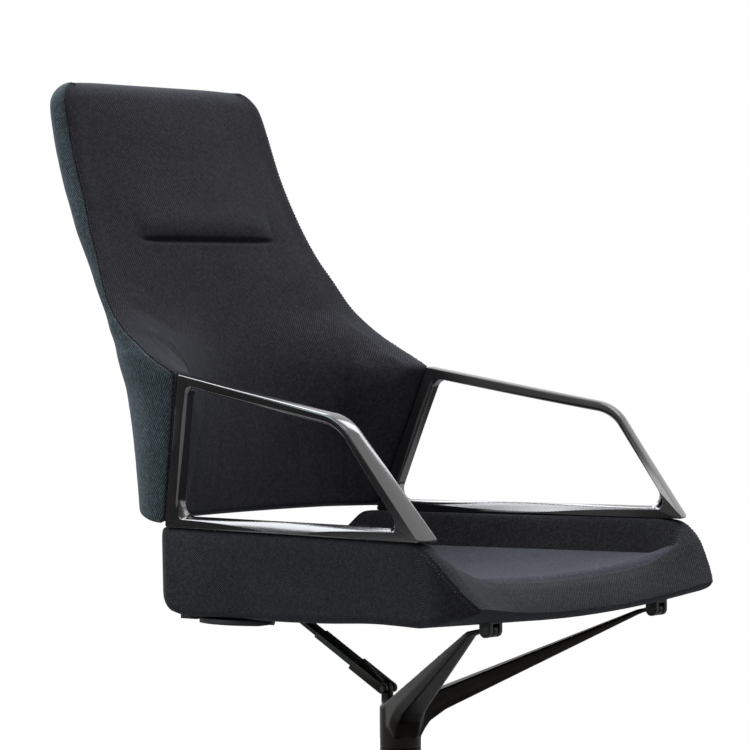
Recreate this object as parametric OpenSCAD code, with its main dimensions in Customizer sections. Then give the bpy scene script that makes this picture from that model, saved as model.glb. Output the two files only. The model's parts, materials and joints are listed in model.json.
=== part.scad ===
// High-backed swivel armchair on a five-star base with castors.
// Frame: Z up, origin on the floor at the column's axis, the sitter looks along -Y.
// The sitter's right hand is on -X and the left hand on +X.

/* [Seat] */
// Height of the seat's side walls above the floor
rail_z = 500; // [490:1:540]
// Height of the seat's side walls from their lower edge
wall_h = 112; // [104:1:118]
// Distance from the column's axis to the seat's rear face
seat_rear = 231; // [226:1:250]
// Distance from the column's axis to the seat's front edge
seat_front = 331; // [326:1:338]
// Depth of the front edge's roll, measured from the tip
lip_d = 91; // [88:1:98]
// How much less the middle of the front edge reaches forward
lip_back = 19; // [8:1:26]
// How far the side walls turn inwards at the tips of the front edge
nose_in = 38; // [20:1:44]
// How far the sitting pad's edge lies below the side walls
pad_drop = 43; // [36:1:48]
// How far the pad's middle lies below its edge
pad_dish = 11; // [4:1:14]
// Thickness of the sitting pad at its edge
pad_t = 44; // [38:1:48]
// How far the seat's underside bulges at the middle
belly = 7; // [3:1:10]
// Radius of the seat's lower edges
seat_edge_r = 26; // [18:1:30]
// Radius of the seat's rear corners seen from above
seat_corner_r = 38; // [30:1:50]

/* [Arms] */
// Half width over the arms' outer faces at their rear foot
arm_half = 237; // [225:1:255]
// Angle by which the arms open towards the front
arm_splay = 7.9; // [5:0.1:9]
// Angle by which the arms lean outwards
arm_lean = 9; // [6:0.1:11]
// Distance from the column's axis to the arm's rear foot
arm_rear = 211; // [205:1:216]
// Distance from the column's axis to the arm's front foot
arm_foot = 265; // [255:1:268]
// Height of the arm's rear top corner above the side walls
arm_rise = 205; // [190:1:225]
// Distance from the column's axis to the arm's rear top corner
arm_top_rear = 150; // [135:1:165]
// Height of the front bend above the side walls
bend_rise = 154; // [140:1:170]
// Distance from the column's axis to the front bend
bend_front = 144; // [132:1:156]
// Outer radius of the front bend
bend_r = 70; // [50:1:90]
// Thickness of the arm's rear member
arm_rear_t = 20; // [16:1:24]
// Thickness of the arm's top member
arm_top_t = 14; // [11:1:17]
// Thickness of the arm's front member
arm_front_t = 14; // [11:1:18]
// Thickness of the arm's bottom member
arm_base_t = 16; // [13:1:19]
// Width across the arm's rear member
arm_rear_w = 20; // [16:1:24]
// Width across the arm's front member
arm_front_w = 29; // [24:1:32]
// How far the arm's inner edge leads its outer edge at the front foot
arm_toe = 10; // [4:1:12]
// How much thinner the front member is along its inner edge
arm_thin = 8; // [4:1:9]
// Chamfer along the arm's edges
arm_chamfer = 2.5; // [1.5:0.1:3]

/* [Back] */
// Height of the back above its lower edge
back_h = 596; // [560:1:640]
// Gap between the side walls and the back's lower edge
back_gap = 6; // [4:1:12]
// Half width of the back at its top
top_half = 202; // [185:1:215]
// Distance from the column's axis to the top's front edge
top_edge_y = 424; // [400:1:445]
// Distance from the axis to the front face's middle at its lower edge
lumbar_y = 250; // [240:1:262]
// How far the front face's middle leans back up to the top
front_lean = 170; // [150:1:185]
// Distance from the axis to the rear face at its lower edge
rear_y = 330; // [320:1:345]
// How far the rear face leans back up to the top
rear_lean = 152; // [135:1:165]
// Depth of the hollow between the wings
cup_d = 56; // [40:1:62]
// Thickness of the wings' front edges
wing_t = 28; // [22:1:32]
// Radius of the top corners seen from the front
top_corner_r = 36; // [25:1:50]
// Depth of the tuck under the head section
tuck_d = 7; // [3:1:9]
// Half length of the tuck
tuck_half = 143; // [120:1:160]

/* [Hub] */
// Height of the hub's lower end above the floor
hub_z = 198; // [196:1:204]
// Outer radius of the hub
hub_r = 28; // [27.5:0.1:31]
// Height of the hub's body from its lower end
hub_h = 59; // [58:1:62]
// Height of a hub arm where it leaves the body
hub_arm_h = 36; // [32:1:38]
// Width of a hub arm where it leaves the body
hub_arm_w = 51; // [44:1:52]
// Height of a hub arm near its tip
hub_tip_h = 7; // [6:0.5:9]
// Width of a hub arm near its tip
hub_tip_w = 15; // [14:1:18]
// Distance from the column's axis forward to the tilt axis
tilt_y = 289; // [284:1:292]
// Half distance between the two tilt pivots
tilt_half = 187; // [180:1:192]
// Radius of the eye at the end of each hub arm
eye_r = 8.5; // [8.5:0.1:9.5]
// Width of the eye at the end of each hub arm
eye_w = 13; // [12:0.5:15]
// Radius of the tilt pins
pin_r = 4; // [3.5:0.1:4.2]

/* [Rear strut] */
// Distance from the column's axis back to the strut's lower pin
strut_y = 22; // [20:1:25]
// Height of the strut's lower pin above the hub's body
strut_rise = 19.5; // [17:0.5:22]
// Distance from the column's axis back to the strut's upper pin
strut_top_y = 184; // [178:1:188]
// Drop of the strut's upper pin below the seat
strut_drop = 18; // [15:1:20]
// Height of the strut's housing across its length
housing_t = 13; // [12:0.5:15]
// Height of the strut's middle stage
stage_t = 8.5; // [7.5:0.1:9]
// Height of the strut's rod
rod_t = 6; // [5:0.1:6.5]
// Width of the strut's housing
housing_w = 28; // [26:1:30]
// Length of the housing above the lower pin
housing_l = 61; // [56:1:70]
// Radius of the strut's two pins
strut_pin_r = 4; // [3.5:0.1:4.5]

/* [Column] */
// Radius of the gas spring's outer tube
tube_r = 25; // [24:0.1:25.2]
// Wall of the outer tube
tube_wall = 2; // [1.5:0.1:2.5]
// Radius of the pressure cylinder
cylinder_r = 14; // [13:0.1:15]
// Wall of the pressure cylinder
cylinder_wall = 2.5; // [2:0.1:3]
// Radius of the piston rod
rod_r = 5; // [4:0.1:6]
// Height of the outer tube's top above the floor
tube_top = 206; // [205:1:208]
// Height of the outer tube's foot above the floor
tube_foot = 26; // [20:1:34]
// Length of the guide bush
guide_l = 56; // [40:1:60]
// How far the seat can be lowered
height_down = 40; // [30:1:40]
// How far the seat can be raised
height_up = 50; // [30:1:50]
// Length of the cover below the hub
cover_h = 48; // [44:1:50]

/* [Base] */
// Radius from the column's axis to the castor stems
base_r = 300; // [285:1:320]
// Height of the base hub's top above the floor
base_top = 106; // [98:1:108]
// Height of the base hub
base_hub_h = 50; // [44:1:54]
// Outer radius of the base hub
base_hub_r = 36; // [34:1:42]
// Height of the legs' tips above the floor
leg_tip_z = 66; // [65:1:68]
// Thickness of the legs' tips
leg_tip_h = 22; // [20:1:26]
// Width of a leg at the hub
leg_root_w = 46; // [40:1:52]
// Width of a leg at its tip
leg_tip_w = 30; // [26:1:36]

/* [Castors] */
// Radius of the castor wheels
wheel_r = 27; // [25:0.5:27]
// Width of one castor wheel
wheel_w = 17; // [14:1:19]
// Radius of the castor stems
stem_r = 5.5; // [5:0.1:6]
// Distance the axle trails behind the stem
trail = 19; // [17:1:21]
// Thickness of the web between the wheels
web_t = 10; // [8:1:12]
// Radius of the castor axles
axle_r = 4; // [3:0.1:4.5]
// Thickness of the hood over the wheels
hood_t = 2.5; // [2:0.1:3]

/* [Controls] */
// Length of the height paddle
paddle_l = 104; // [90:1:110]
// Width of the height paddle
paddle_w = 38; // [32:1:40]
// Thickness of the height paddle
paddle_t = 7; // [6:0.5:8]
// Distance from the column's axis back to the paddle's middle
paddle_y = 120; // [110:1:128]
// Radius of the paddle's pin
paddle_pin_r = 2; // [1.5:0.1:2.2]
// Length of the rubber pads under the seat's rear corners
stop_l = 28; // [22:1:30]
// Width of the rubber pads
stop_w = 22; // [18:1:24]
// How far the rubber pads stand out below the seat
stop_h = 12; // [8:1:14]

/* [Hidden] */
$fn = 48;

// Clearances and small sizes that several pieces share
over = 1;
run_gap = 0.05;
soft_gap = 0.3;
side_gap = 0.5;
fine = 0.01;
metal = "#3a3836";
dark = "#1d1d20";
cloth = "#26282d";
steel = "#8a8c8e";

// The back's outline by height, from the arm's top to the back's top, as shares of the
// change in half width and in forward reach
wing_half_share = [
    [0, 1], [0.05, 1], [0.09, 0.93], [0.14, 0.88], [0.21, 0.77], [0.29, 0.65], [0.39, 0.43],
    [0.49, 0.3], [0.59, 0.2], [0.69, 0.15], [0.79, 0.12], [0.89, 0.08], [1, 0]
];
wing_reach_share = [
    [0, 1], [0.05, 0.85], [0.09, 0.745], [0.14, 0.63], [0.21, 0.515], [0.29, 0.435],
    [0.39, 0.355], [0.49, 0.28], [0.59, 0.215], [0.69, 0.155], [0.79, 0.105], [0.89, 0.06], [1, 0]
];
// The same by height from the back's lower edge: the lean of the front and rear faces
front_lean_share = [
    [0, 0], [0.16, 0.047], [0.33, 0.14], [0.43, 0.24], [0.49, 0.31], [0.56, 0.39],
    [0.64, 0.475], [0.7, 0.54], [0.83, 0.745], [0.93, 0.89], [1, 1]
];
rear_lean_share = [
    [0, 0], [0.16, 0.046], [0.33, 0.13], [0.46, 0.224], [0.56, 0.37], [0.66, 0.53],
    [0.75, 0.71], [0.83, 0.83], [0.9, 0.91], [0.95, 0.96], [1, 1]
];
// How square the back's plan is at each height, as the power of its oval
square_share = [
    [0, 2.4], [0.33, 2.65], [0.39, 2.3], [0.47, 2], [0.53, 2.05], [0.6, 2.8], [0.66, 3.8], [1, 3.9]
];
// The crease between the middle panel and the wings: its place across and its depth
crease_half_share = [[0, 0.62], [0.33, 0.61], [0.39, 0.69], [0.45, 0.81]];
crease_depth_share = [[0, 0.25], [0.16, 0.43], [0.33, 0.87], [0.39, 0.9], [0.45, 0.64]];
crease_end_share = 0.45;
// The tuck under the head section: its height and width, and the roll of cloth above it
tuck_share = 0.632;
tuck_width_share = 0.006;
tuck_end_power = 8;
bulge_share = 0.5;
bulge_up_share = 0.035;
bulge_width_share = 0.03;
back_station_share = [
    0, 0.005, 0.018, 0.06, 0.14, 0.22, 0.29, 0.334, 0.352, 0.375, 0.4, 0.43, 0.46, 0.5, 0.55,
    0.6, 0.618, 0.628, 0.632, 0.638, 0.65, 0.7, 0.78, 0.86, 0.93, 0.965, 0.985, 0.996, 1
];
back_t_share = [0, 0.06, 0.14, 0.24, 0.35, 0.46, 0.57, 0.68, 0.79, 0.9, 1];
split_share = 0.5;
end_roll_share = 0.72;

// The seat across its half width, from the middle to the outer edge, and its heights
seat_column_share = [0, 0.2, 0.4, 0.6, 0.75, 0.85, 0.89, 0.975, 1];
lip_height_share = [0, 0.02, 0.07, 0.18, 0.46, 0.74, 0.88, 1, 0.97];
seat_columns = len(seat_column_share) - 1;
pad_columns = 6;
low_edge_share = 0.4;
low_steps = 4;
// The front roll from its start to the tip: place, drop and rise of the sides and middle
roll_place_share = [0, 0.25, 0.46, 0.53, 0.65, 0.77, 0.87, 0.95, 1];
side_drop_share = [[0, 0], [0.25, 0.01], [0.3, 0.04], [0.53, 0.2], [0.7, 0.4], [0.87, 0.59], [0.95, 0.68], [1, 0.73]];
side_rise_share = [[0, 0], [0.11, 0.022], [0.24, 0.036], [0.56, 0.1], [0.76, 0.14], [0.88, 0.18], [0.95, 0.22], [1, 0.27]];
nose_share = [[0, 0], [0.3, 0], [0.53, 0.08], [0.7, 0.29], [0.87, 0.58], [0.95, 0.85], [1, 1]];
mid_drop_share = [[0, 0.535], [0.46, 0.56], [0.65, 0.62], [0.78, 0.7], [0.88, 0.77], [0.95, 0.83], [1, 0.88]];
mid_rise_share = [[0, 0], [0.65, 0.01], [0.78, 0.02], [0.88, 0.04], [0.95, 0.06], [1, 0.09]];
pad_end_share = 0.46;
span_share = [0.02, 0.2, 0.4, 0.6, 0.8];
rear_place_share = [1, 0.93, 0.8, 0.6, 0.35, 0.1, 0];
rim_drop_share = 0.2;

// Heights and places worked out from the sizes above
floor_z = rail_z - wall_h;
back_z = rail_z + back_gap;
back_top = back_z + back_h;
arm_top_z = rail_z + arm_rise;
pad_z = rail_z - pad_drop - pad_t;
pad_rear = seat_rear - seat_edge_r;
roll_y = seat_front - lip_d;
tilt_z = floor_z - eye_r / 3;
hub_top = hub_z + hub_h;

// Helpers
function mix(a, b, t) = a + (b - a) * t;
function roll(e, r) = e >= r ? 0 : 1 - sqrt(1 - pow(1 - max(e, 0) / r, 2));
function arm_x(y, z) = arm_half + (arm_rear - y) * tan(arm_splay) + (z - rail_z) * tan(arm_lean);
function meet(p, u, q, v) = p + u * cross(q - p, v) / cross(u, v);
function unit(v) = v / norm(v);

// Closes a row of rings: each ring holds one curve and then a second curve in reverse,
// whose facets lean the other way, so that two bodies split along one curve fit together
module ring_body(rings) {
    n = len(rings[0]);
    m = len(rings);
    h = n / 2;
    sides = [for (j = [0 : m - 2], i = [0 : n - 1]) let (a = j * n + i, b = j * n + (i + 1) % n)
        each i < h ? [[a, b, b + n], [a, b + n, a + n]] : [[a, b, a + n], [b, b + n, a + n]]];
    first = [for (i = [0 : h - 2]) let (a = i, b = i + 1, c = n - 2 - i, d = n - 1 - i)
        each [[a, c, b], [a, d, c]]];
    top = (m - 1) * n;
    last = [for (f = first) [top + f[0], top + f[2], top + f[1]]];
    polyhedron(points = [for (r = rings) each r], faces = concat(sides, first, last));
}

// A bar from one point to the next with the sections given there
module bar_body(sections) {
    n = len(sections[0]);
    m = len(sections);
    sides = [for (j = [0 : m - 2], i = [0 : n - 1]) let (a = j * n + i, b = j * n + (i + 1) % n)
        each [[a, b, b + n], [a, b + n, a + n]]];
    first = [for (i = [1 : n - 2]) [0, i + 1, i]];
    top = (m - 1) * n;
    last = [for (f = first) [top + f[0], top + f[2], top + f[1]]];
    polyhedron(points = [for (s = sections) each s], faces = concat(sides, first, last));
}

module tube(r, bore, h) {
    difference() {
        cylinder(r = r, h = h);
        translate([0, 0, -over]) cylinder(r = bore, h = h + 2 * over);
    }
}

module along_x(l) {
    rotate([0, 90, 0]) translate([0, 0, -l / 2]) children();
}

// The back: front and rear curves at one height
function up_share(z) = (z - arm_top_z) / (back_top - arm_top_z);
function edge_y(z) = z <= arm_top_z
    ? mix(arm_rear, arm_top_rear, (z - rail_z) / arm_rise) + soft_gap
    : mix(top_edge_y, arm_top_rear + soft_gap, lookup(up_share(z), wing_reach_share));
function edge_x(z) = z <= arm_top_z
    ? arm_x(edge_y(z), z)
    : mix(top_half, arm_x(arm_top_rear, arm_top_z), lookup(up_share(z), wing_half_share));
function mid_y(h) = lumbar_y + front_lean * lookup(h, front_lean_share);
function rear_mid_y(h) = rear_y + rear_lean * lookup(h, rear_lean_share);
function crease_at(h, z) = h > crease_end_share
    ? [edge_x(z) - wing_t, edge_y(z)]
    : [edge_x(arm_top_z) * lookup(h, crease_half_share), mid_y(h) - cup_d * lookup(h, crease_depth_share)];
function bell(t, width) = exp(-pow(t / width, 2));
function tuck(x, h) = tuck_d * max(0, 1 - pow(x / tuck_half, tuck_end_power))
    * (bell(h - tuck_share, tuck_width_share)
    - bulge_share * bell(h - tuck_share - bulge_up_share, bulge_width_share));
function front_at(x, h, z) = let (c = crease_at(h, z), e = [edge_x(z) - wing_t, edge_y(z)])
    x <= c[0]
    ? mid_y(h) - (mid_y(h) - c[1]) * pow(x / c[0], 2)
    : mix(c[1], e[1], (x - c[0]) / max(e[0] - c[0], fine));
function front_point(t, h, z) = let (x = (edge_x(z) - wing_t) * t)
    [x, front_at(x, h, z) + tuck(x, h)];
function rear_point(t, h, z) = let (a = 90 * (1 - t), p = 2 / lookup(h, square_share))
    [edge_x(z) * pow(cos(a), p), mix(edge_y(z), rear_mid_y(h), pow(sin(a), p))];
function back_point(t, h, depth) = let (
        z = back_z + back_h * h,
        f = front_point(t, h, z),
        r = rear_point(t, h, z),
        m = (f + r) / 2,
        d = roll(min(1 - h, h * 2) * back_h, seat_edge_r) * end_roll_share,
        p = mix(mix(f, r, depth), m, d),
        narrow = 1 - roll((1 - h) * back_h, top_corner_r) * top_corner_r / top_half
    ) [p[0] * narrow, p[1], z];
function back_curve(h, depth) = concat(
    [for (i = [len(back_t_share) - 1 : -1 : 1]) back_point(back_t_share[i], h, depth)],
    [for (t = back_t_share) let (p = back_point(t, h, depth)) [-p[0], p[1], p[2]]]);
function reversed(v) = [for (i = [len(v) - 1 : -1 : 0]) v[i]];
module back_layer(near, far) {
    ring_body([for (h = back_station_share) concat(back_curve(h, near), reversed(back_curve(h, far)))]);
}

// The seat: upper and lower curves at one station; q runs along the front roll and k
// along the rear end, and both are zero between them
function seat_half(y, z, k, q) = arm_x(y, z) - nose_in * lookup(q, nose_share)
    - seat_corner_r * roll(seat_corner_r * (1 - k), seat_corner_r);
function side_top(q, k) = rail_z - wall_h * lookup(q, side_drop_share)
    - wall_h * rim_drop_share * pow(max(0, k - 0.5) * 2, 2);
function side_low(q, k) = floor_z + wall_h * lookup(q, side_rise_share) + seat_edge_r * roll(seat_edge_r * (1 - k), seat_edge_r);
function lip_top(q, c) = mix(rail_z - wall_h * lookup(q, mid_drop_share), side_top(q, 0),
    lip_height_share[c]);
function pad_top(c) = rail_z - pad_drop
    - pad_dish * (1 - pow(seat_column_share[c] / seat_column_share[pad_columns - 1], 2));
function rim_top(k) = rail_z - wall_h * rim_drop_share * (1 + pow(k, 4) / 2);
function seat_top(q, k, c) = c >= (k > 0 ? pad_columns + 1 : pad_columns)
    ? mix(side_top(q, k), lip_top(q, c), min(1, q / pad_end_share))
    : k > 0 ? rim_top(k)
    : mix(pad_top(c), lip_top(q, c), pow(min(1, q / pad_end_share), 2));
function reach(y, s) = y >= -roll_y ? y : -roll_y + (y + roll_y) * (1 - lip_back / lip_d * (1 - s * s));
function top_point(y, q, k, c) = let (s = seat_column_share[c], z = seat_top(q, k, c))
    [seat_half(y, z, k, q) * s, reach(y, s), z];
function low_point(y, q, k, i) = let (
        z0 = side_low(q, k),
        r = min(seat_edge_r, (side_top(q, k) - z0) * low_edge_share),
        a = i * 90 / low_steps,
        flat = seat_half(y, z0, k, q) - r,
        s = (seat_columns - i) / (seat_columns - low_steps),
        mid = floor_z - belly + wall_h * lookup(q, mid_rise_share) + (z0 - floor_z) * (q > 0 ? 0 : 1)
    ) i <= low_steps
    ? [flat + r * cos(a), reach(y, 1), z0 + r - r * sin(a)]
    : [flat * s, reach(y, s * flat / (flat + r)), mix(mid, z0, s * s)];
function seat_ring(y, q, k) = concat(
    [for (c = [seat_columns : -1 : 0]) top_point(y, q, k, c)],
    [for (c = [1 : seat_columns]) let (p = top_point(y, q, k, c)) [-p[0], p[1], p[2]]],
    [for (i = [0 : seat_columns]) let (p = low_point(y, q, k, i)) [-p[0], p[1], p[2]]],
    [for (i = [seat_columns - 1 : -1 : 0]) low_point(y, q, k, i)]);
rear_stations = [for (k = rear_place_share) [seat_rear - seat_edge_r * (1 - k), 0, k]];
mid_stations = [for (t = span_share) [mix(pad_rear, -roll_y, t), 0, 0]];
lip_stations = [for (q = roll_place_share) [-roll_y - lip_d * q, q, 0]];
seat_stations = concat(rear_stations, mid_stations, lip_stations);

// The pad's own rings: its crowned top over a flat base
function pad_ring(y, q, grow, rise, ahead) = let (
        tops = [for (c = [0 : pad_columns - 1]) let (p = top_point(y, q, 0, c))
            [p[0] + (c == pad_columns - 1 ? grow : 0), p[1] + ahead, p[2] + rise]],
        lows = [for (p = tops) [p[0], p[1], pad_z - grow]]
    ) concat(
        [for (i = [pad_columns - 1 : -1 : 0]) tops[i]],
        [for (i = [1 : pad_columns - 1]) [-tops[i][0], tops[i][1], tops[i][2]]],
        [for (i = [pad_columns - 1 : -1 : 1]) [-lows[i][0], lows[i][1], lows[i][2]]],
        lows);
pad_stations = concat(
    [[pad_rear, 0]],
    [for (t = span_share) [mix(pad_rear, -roll_y, t), 0]],
    [for (t = roll_place_share) if (t <= pad_end_share) [-roll_y - lip_d * t, t]]);
module pad(grow, rise) {
    last = len(pad_stations) - 1;
    ring_body(reversed([for (i = [0 : last]) let (s = pad_stations[i])
        pad_ring(s[0], s[1], grow, rise, i == 0 ? grow : i == last ? -grow : 0)]));
}

// Under the seat: pockets in its underside take the brackets, the paddle's lugs and the pads
plate_t = 6;
plate_tail = 10;
ear_t = 6;
bush_wall = 2;
pocket_in = 38;
pocket_back = 60;
pocket_z = tilt_z + eye_r + side_gap;
ceiling_z = pocket_z + plate_t;
tilt_gap = eye_w / 2 + side_gap;
lug_w = 12;
strut_gap = lug_w / 2 + side_gap;
strut_top_z = floor_z - strut_drop;
open_gap = 4;
rod_eye_r = strut_pin_r + open_gap + plate_t / 2;
module pocket(x0, x1, y0, y1, top) {
    translate([x0, y0, strut_top_z]) cube([x1 - x0, y1 - y0, top - strut_top_z]);
}
module pockets() {
    for (s = [0, 1]) mirror([s, 0, 0]) {
        pocket(tilt_half - pocket_in, tilt_half + tilt_gap + ear_t + side_gap,
            -tilt_y - eye_r - side_gap, -tilt_y + pocket_back, ceiling_z);
        translate([tilt_half, stop_y, 0]) pocket(-stop_w / 2, stop_w / 2, -stop_l / 2, stop_l / 2, pad_seat_z);
    }
    pocket(-strut_gap - ear_t - side_gap, strut_gap + ear_t + side_gap,
        strut_top_y - rod_eye_r - open_gap, strut_top_y + rod_eye_r + plate_tail, ceiling_z);
    for (y = lug_places) translate([-paddle_x, y, 0])
        pocket(-paddle_t / 2, paddle_t / 2, -lug_t / 2, lug_t / 2, pad_seat_z);
}
module seat_shell() color(cloth) difference() {
    ring_body(reversed([for (s = seat_stations) seat_ring(s[0], s[1], s[2])]));
    pad(soft_gap, wall_h);
    pockets();
    bracket_screws();
    arm_screws();
}
module seat_cushion() color(cloth) pad(0, 0);

// A bracket: a plate in the pocket with two ears that hold a pin
screw_r = 2.5;
screw_grip = 6;
module bracket(y, z, bore, inner) {
    half = inner + ear_t;
    difference() {
        union() {
            translate([-half, y - eye_r, pocket_z]) cube([2 * half, 2 * eye_r + plate_tail, plate_t]);
            for (s = [-1, 1]) translate([s * (inner + ear_t / 2), y, z]) {
                along_x(ear_t) cylinder(r = eye_r, h = ear_t);
                translate([-ear_t / 2, -eye_r, 0]) cube([ear_t, 2 * eye_r, pocket_z - z + over]);
            }
        }
        translate([0, y, z]) along_x(2 * half + 2 * over) cylinder(r = bore, h = 2 * half + 2 * over);
    }
}
module tilt_brackets() color(dark) difference() {
    for (s = [-1, 1]) translate([s * tilt_half, 0, 0]) bracket(-tilt_y, tilt_z, pin_r, tilt_gap);
    bracket_screws();
}
module strut_bracket() color(dark) difference() {
    bracket(strut_top_y, strut_top_z, strut_pin_r, strut_gap);
    bracket_screws();
}
module bracket_screws() color(steel)
    for (b = [[-tilt_half, -tilt_y], [tilt_half, -tilt_y], [0, strut_top_y]], s = [-1, 1])
        translate([b[0] + s * ear_t, b[1] + eye_r + plate_tail / 2, pocket_z])
            cylinder(r = screw_r, h = plate_t + screw_grip);

// The arm: a closed loop whose outer outline is given by its corners and whose window
// lies inside by the thickness of each member
arm_corners = [
    [arm_top_rear, arm_top_z], [-bend_front, rail_z + bend_rise],
    [-arm_foot, rail_z + soft_gap], [arm_rear, rail_z + soft_gap]
];
arm_members = [arm_top_t, arm_front_t, arm_base_t, arm_rear_t];
arm_outer_r = [arm_chamfer, bend_r, arm_chamfer, arm_chamfer];
arm_inner_r = [arm_rear_t / 2, bend_r - arm_front_t, arm_base_t / 2, arm_rear_t];
arm_widths = [arm_rear_w, arm_front_w, arm_front_w, arm_rear_w];
toe_share = [0, 0.8, 1, 0];
thin_share = [0, 0.7, 1, 0];
arc_steps = 7;
arc_points = arc_steps + 1;
function arm_side(i, inset) = let (a = arm_corners[i], d = unit(arm_corners[(i + 1) % 4] - a))
    [a - [d[1], -d[0]] * inset, d];
function window_corner(i) = let (
        before = arm_side((i + 3) % 4, arm_members[(i + 3) % 4]),
        after = arm_side(i, arm_members[i])
    ) meet(before[0], before[1], after[0], after[1]);
arm_window = [for (i = [0 : 3]) window_corner(i)];
function rounded(path, i, r) = let (
        p = path[i],
        a = unit(path[(i + 3) % 4] - p),
        b = unit(path[(i + 1) % 4] - p),
        half = acos(a * b) / 2,
        centre = p + unit(a + b) * r / sin(half),
        from = p + a * r / tan(half) - centre,
        turn = (2 * half - 180) * sign(cross(a, b))
    ) [for (k = [0 : arc_steps]) let (t = turn * k / arc_steps)
        centre + [from[0] * cos(t) - from[1] * sin(t), from[0] * sin(t) + from[1] * cos(t)]];
arm_outline = [for (i = [0 : 3]) each rounded(arm_corners, i, arm_outer_r[i])];
arm_inline = [for (i = [0 : 3]) each rounded(arm_window, i, arm_inner_r[i])];
function arm_section(i) = let (
        o = arm_outline[i],
        n = arm_inline[i],
        corner = floor(i / arc_points),
        w = arm_widths[corner],
        d = arm_chamfer,
        c = d / norm(o - n)
    ) [for (p = [[c, 0], [1 - c, 0], [1, d], [1, w - d], [1 - c, w], [c, w], [0, w - d], [0, d]])
        let (
            y = mix(n[0], o[0], p[0]),
            z = mix(n[1], o[1], p[0]),
            lead = arm_toe * toe_share[corner] + arm_thin * thin_share[corner] * (1 - p[0])
        ) [arm_x(y, z) - p[1], y - lead * p[1] / w, z]];
module arm_loop() {
    m = len(arm_outline);
    points = [for (i = [0 : m - 1]) each arm_section(i)];
    faces = [for (j = [0 : m - 1], i = [0 : 7]) let (
            a = j * 8 + i, b = j * 8 + (i + 1) % 8,
            c = ((j + 1) % m) * 8 + (i + 1) % 8, d = ((j + 1) % m) * 8 + i)
        each [[a, c, b], [a, d, c]]];
    polyhedron(points = points, faces = faces);
}
module left_arm() color(metal) difference() {
    arm_loop();
    arm_screws();
}
module right_arm() mirror([1, 0, 0]) left_arm();

// Screws that hold each arm on the seat's wall and the back's wing on the arm
arm_screw_r = 3;
seat_screw_share = [0.2, 0.8];
back_screw_share = [0.3, 0.75];
module arm_screws() color(steel) for (s = [0, 1]) mirror([s, 0, 0]) {
    for (t = seat_screw_share) let (y = mix(-arm_foot, arm_rear, t), z = rail_z + arm_base_t / 2)
        translate([arm_x(y, z) - arm_rear_w / 2, y, z - 2 * arm_base_t]) cylinder(r = arm_screw_r, h = 2 * arm_base_t);
    for (t = back_screw_share) let (z = rail_z + arm_rise * t, y = edge_y(z) - arm_rear_t / 2)
        translate([arm_x(y, z) - arm_rear_w / 2, y, z]) rotate([-90, 0, 0])
            cylinder(r = arm_screw_r, h = 1.5 * arm_rear_t);
}
module back_shell() color(cloth) difference() {
    back_layer(split_share, 1);
    arm_screws();
}
module back_cushion() color(cloth) back_layer(0, split_share - soft_gap / wing_t);

// The gas spring: outer tube in the base, piston rod on its bearing, and the pressure
// cylinder that carries the hub
foot_t = 5;
bearing_h = 6;
collar_h = 4;
seal_h = 10;
piston_h = 12;
plug_h = 30;
clip_t = 3;
release_r = 3;
release_up = 6;
bearing_r = 2.6 * rod_r;
collar_r = 1.6 * rod_r;
tube_bore = tube_r - tube_wall;
bearing_z = tube_foot + foot_t;
collar_z = bearing_z + bearing_h + run_gap;
cylinder_foot = collar_z + collar_h + height_down + over;
cylinder_top = hub_top - over;
piston_z = cylinder_foot + seal_h + height_up + over;
boss_z = tube_top + 4 * over;
guide_top = boss_z - height_down - 2 * over;
module stand_tube() color(dark) translate([0, 0, tube_foot]) difference() {
    cylinder(r = tube_r, h = tube_top - tube_foot);
    translate([0, 0, foot_t]) cylinder(r = tube_bore, h = tube_top - tube_foot);
    translate([0, 0, -over]) cylinder(r = rod_r + side_gap, h = foot_t + 2 * over);
}
module guide_bush() color("#d8d8d4") translate([0, 0, guide_top - guide_l])
    tube(tube_bore, cylinder_r + run_gap, guide_l);
module thrust_bearing() color(steel) translate([0, 0, bearing_z]) tube(bearing_r, rod_r + run_gap, bearing_h);
module piston_rod() color(steel) {
    translate([0, 0, tube_foot - 2 * clip_t]) cylinder(r = rod_r, h = piston_z - tube_foot + 2 * clip_t);
    translate([0, 0, collar_z]) cylinder(r = collar_r, h = collar_h);
    translate([0, 0, piston_z]) cylinder(r = cylinder_r - cylinder_wall - run_gap, h = piston_h);
}
module retaining_clip() color(steel) translate([0, 0, tube_foot - clip_t - soft_gap])
    tube(collar_r, rod_r, clip_t);
module pressure_cylinder() color("#26272a") difference() {
    translate([0, 0, cylinder_foot]) cylinder(r = cylinder_r, h = cylinder_top - cylinder_foot);
    translate([0, 0, cylinder_foot - over]) cylinder(r = rod_r + run_gap, h = seal_h + 2 * over);
    translate([0, 0, cylinder_foot + seal_h])
        cylinder(r = cylinder_r - cylinder_wall, h = cylinder_top - plug_h - cylinder_foot - seal_h);
    translate([0, 0, cylinder_top - plug_h - over]) cylinder(r = release_r + run_gap, h = plug_h + 2 * over);
}
module release_pin() color(steel) translate([0, 0, cylinder_top - plug_h + collar_h])
    cylinder(r = release_r, h = plug_h - collar_h + release_up);

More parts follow.
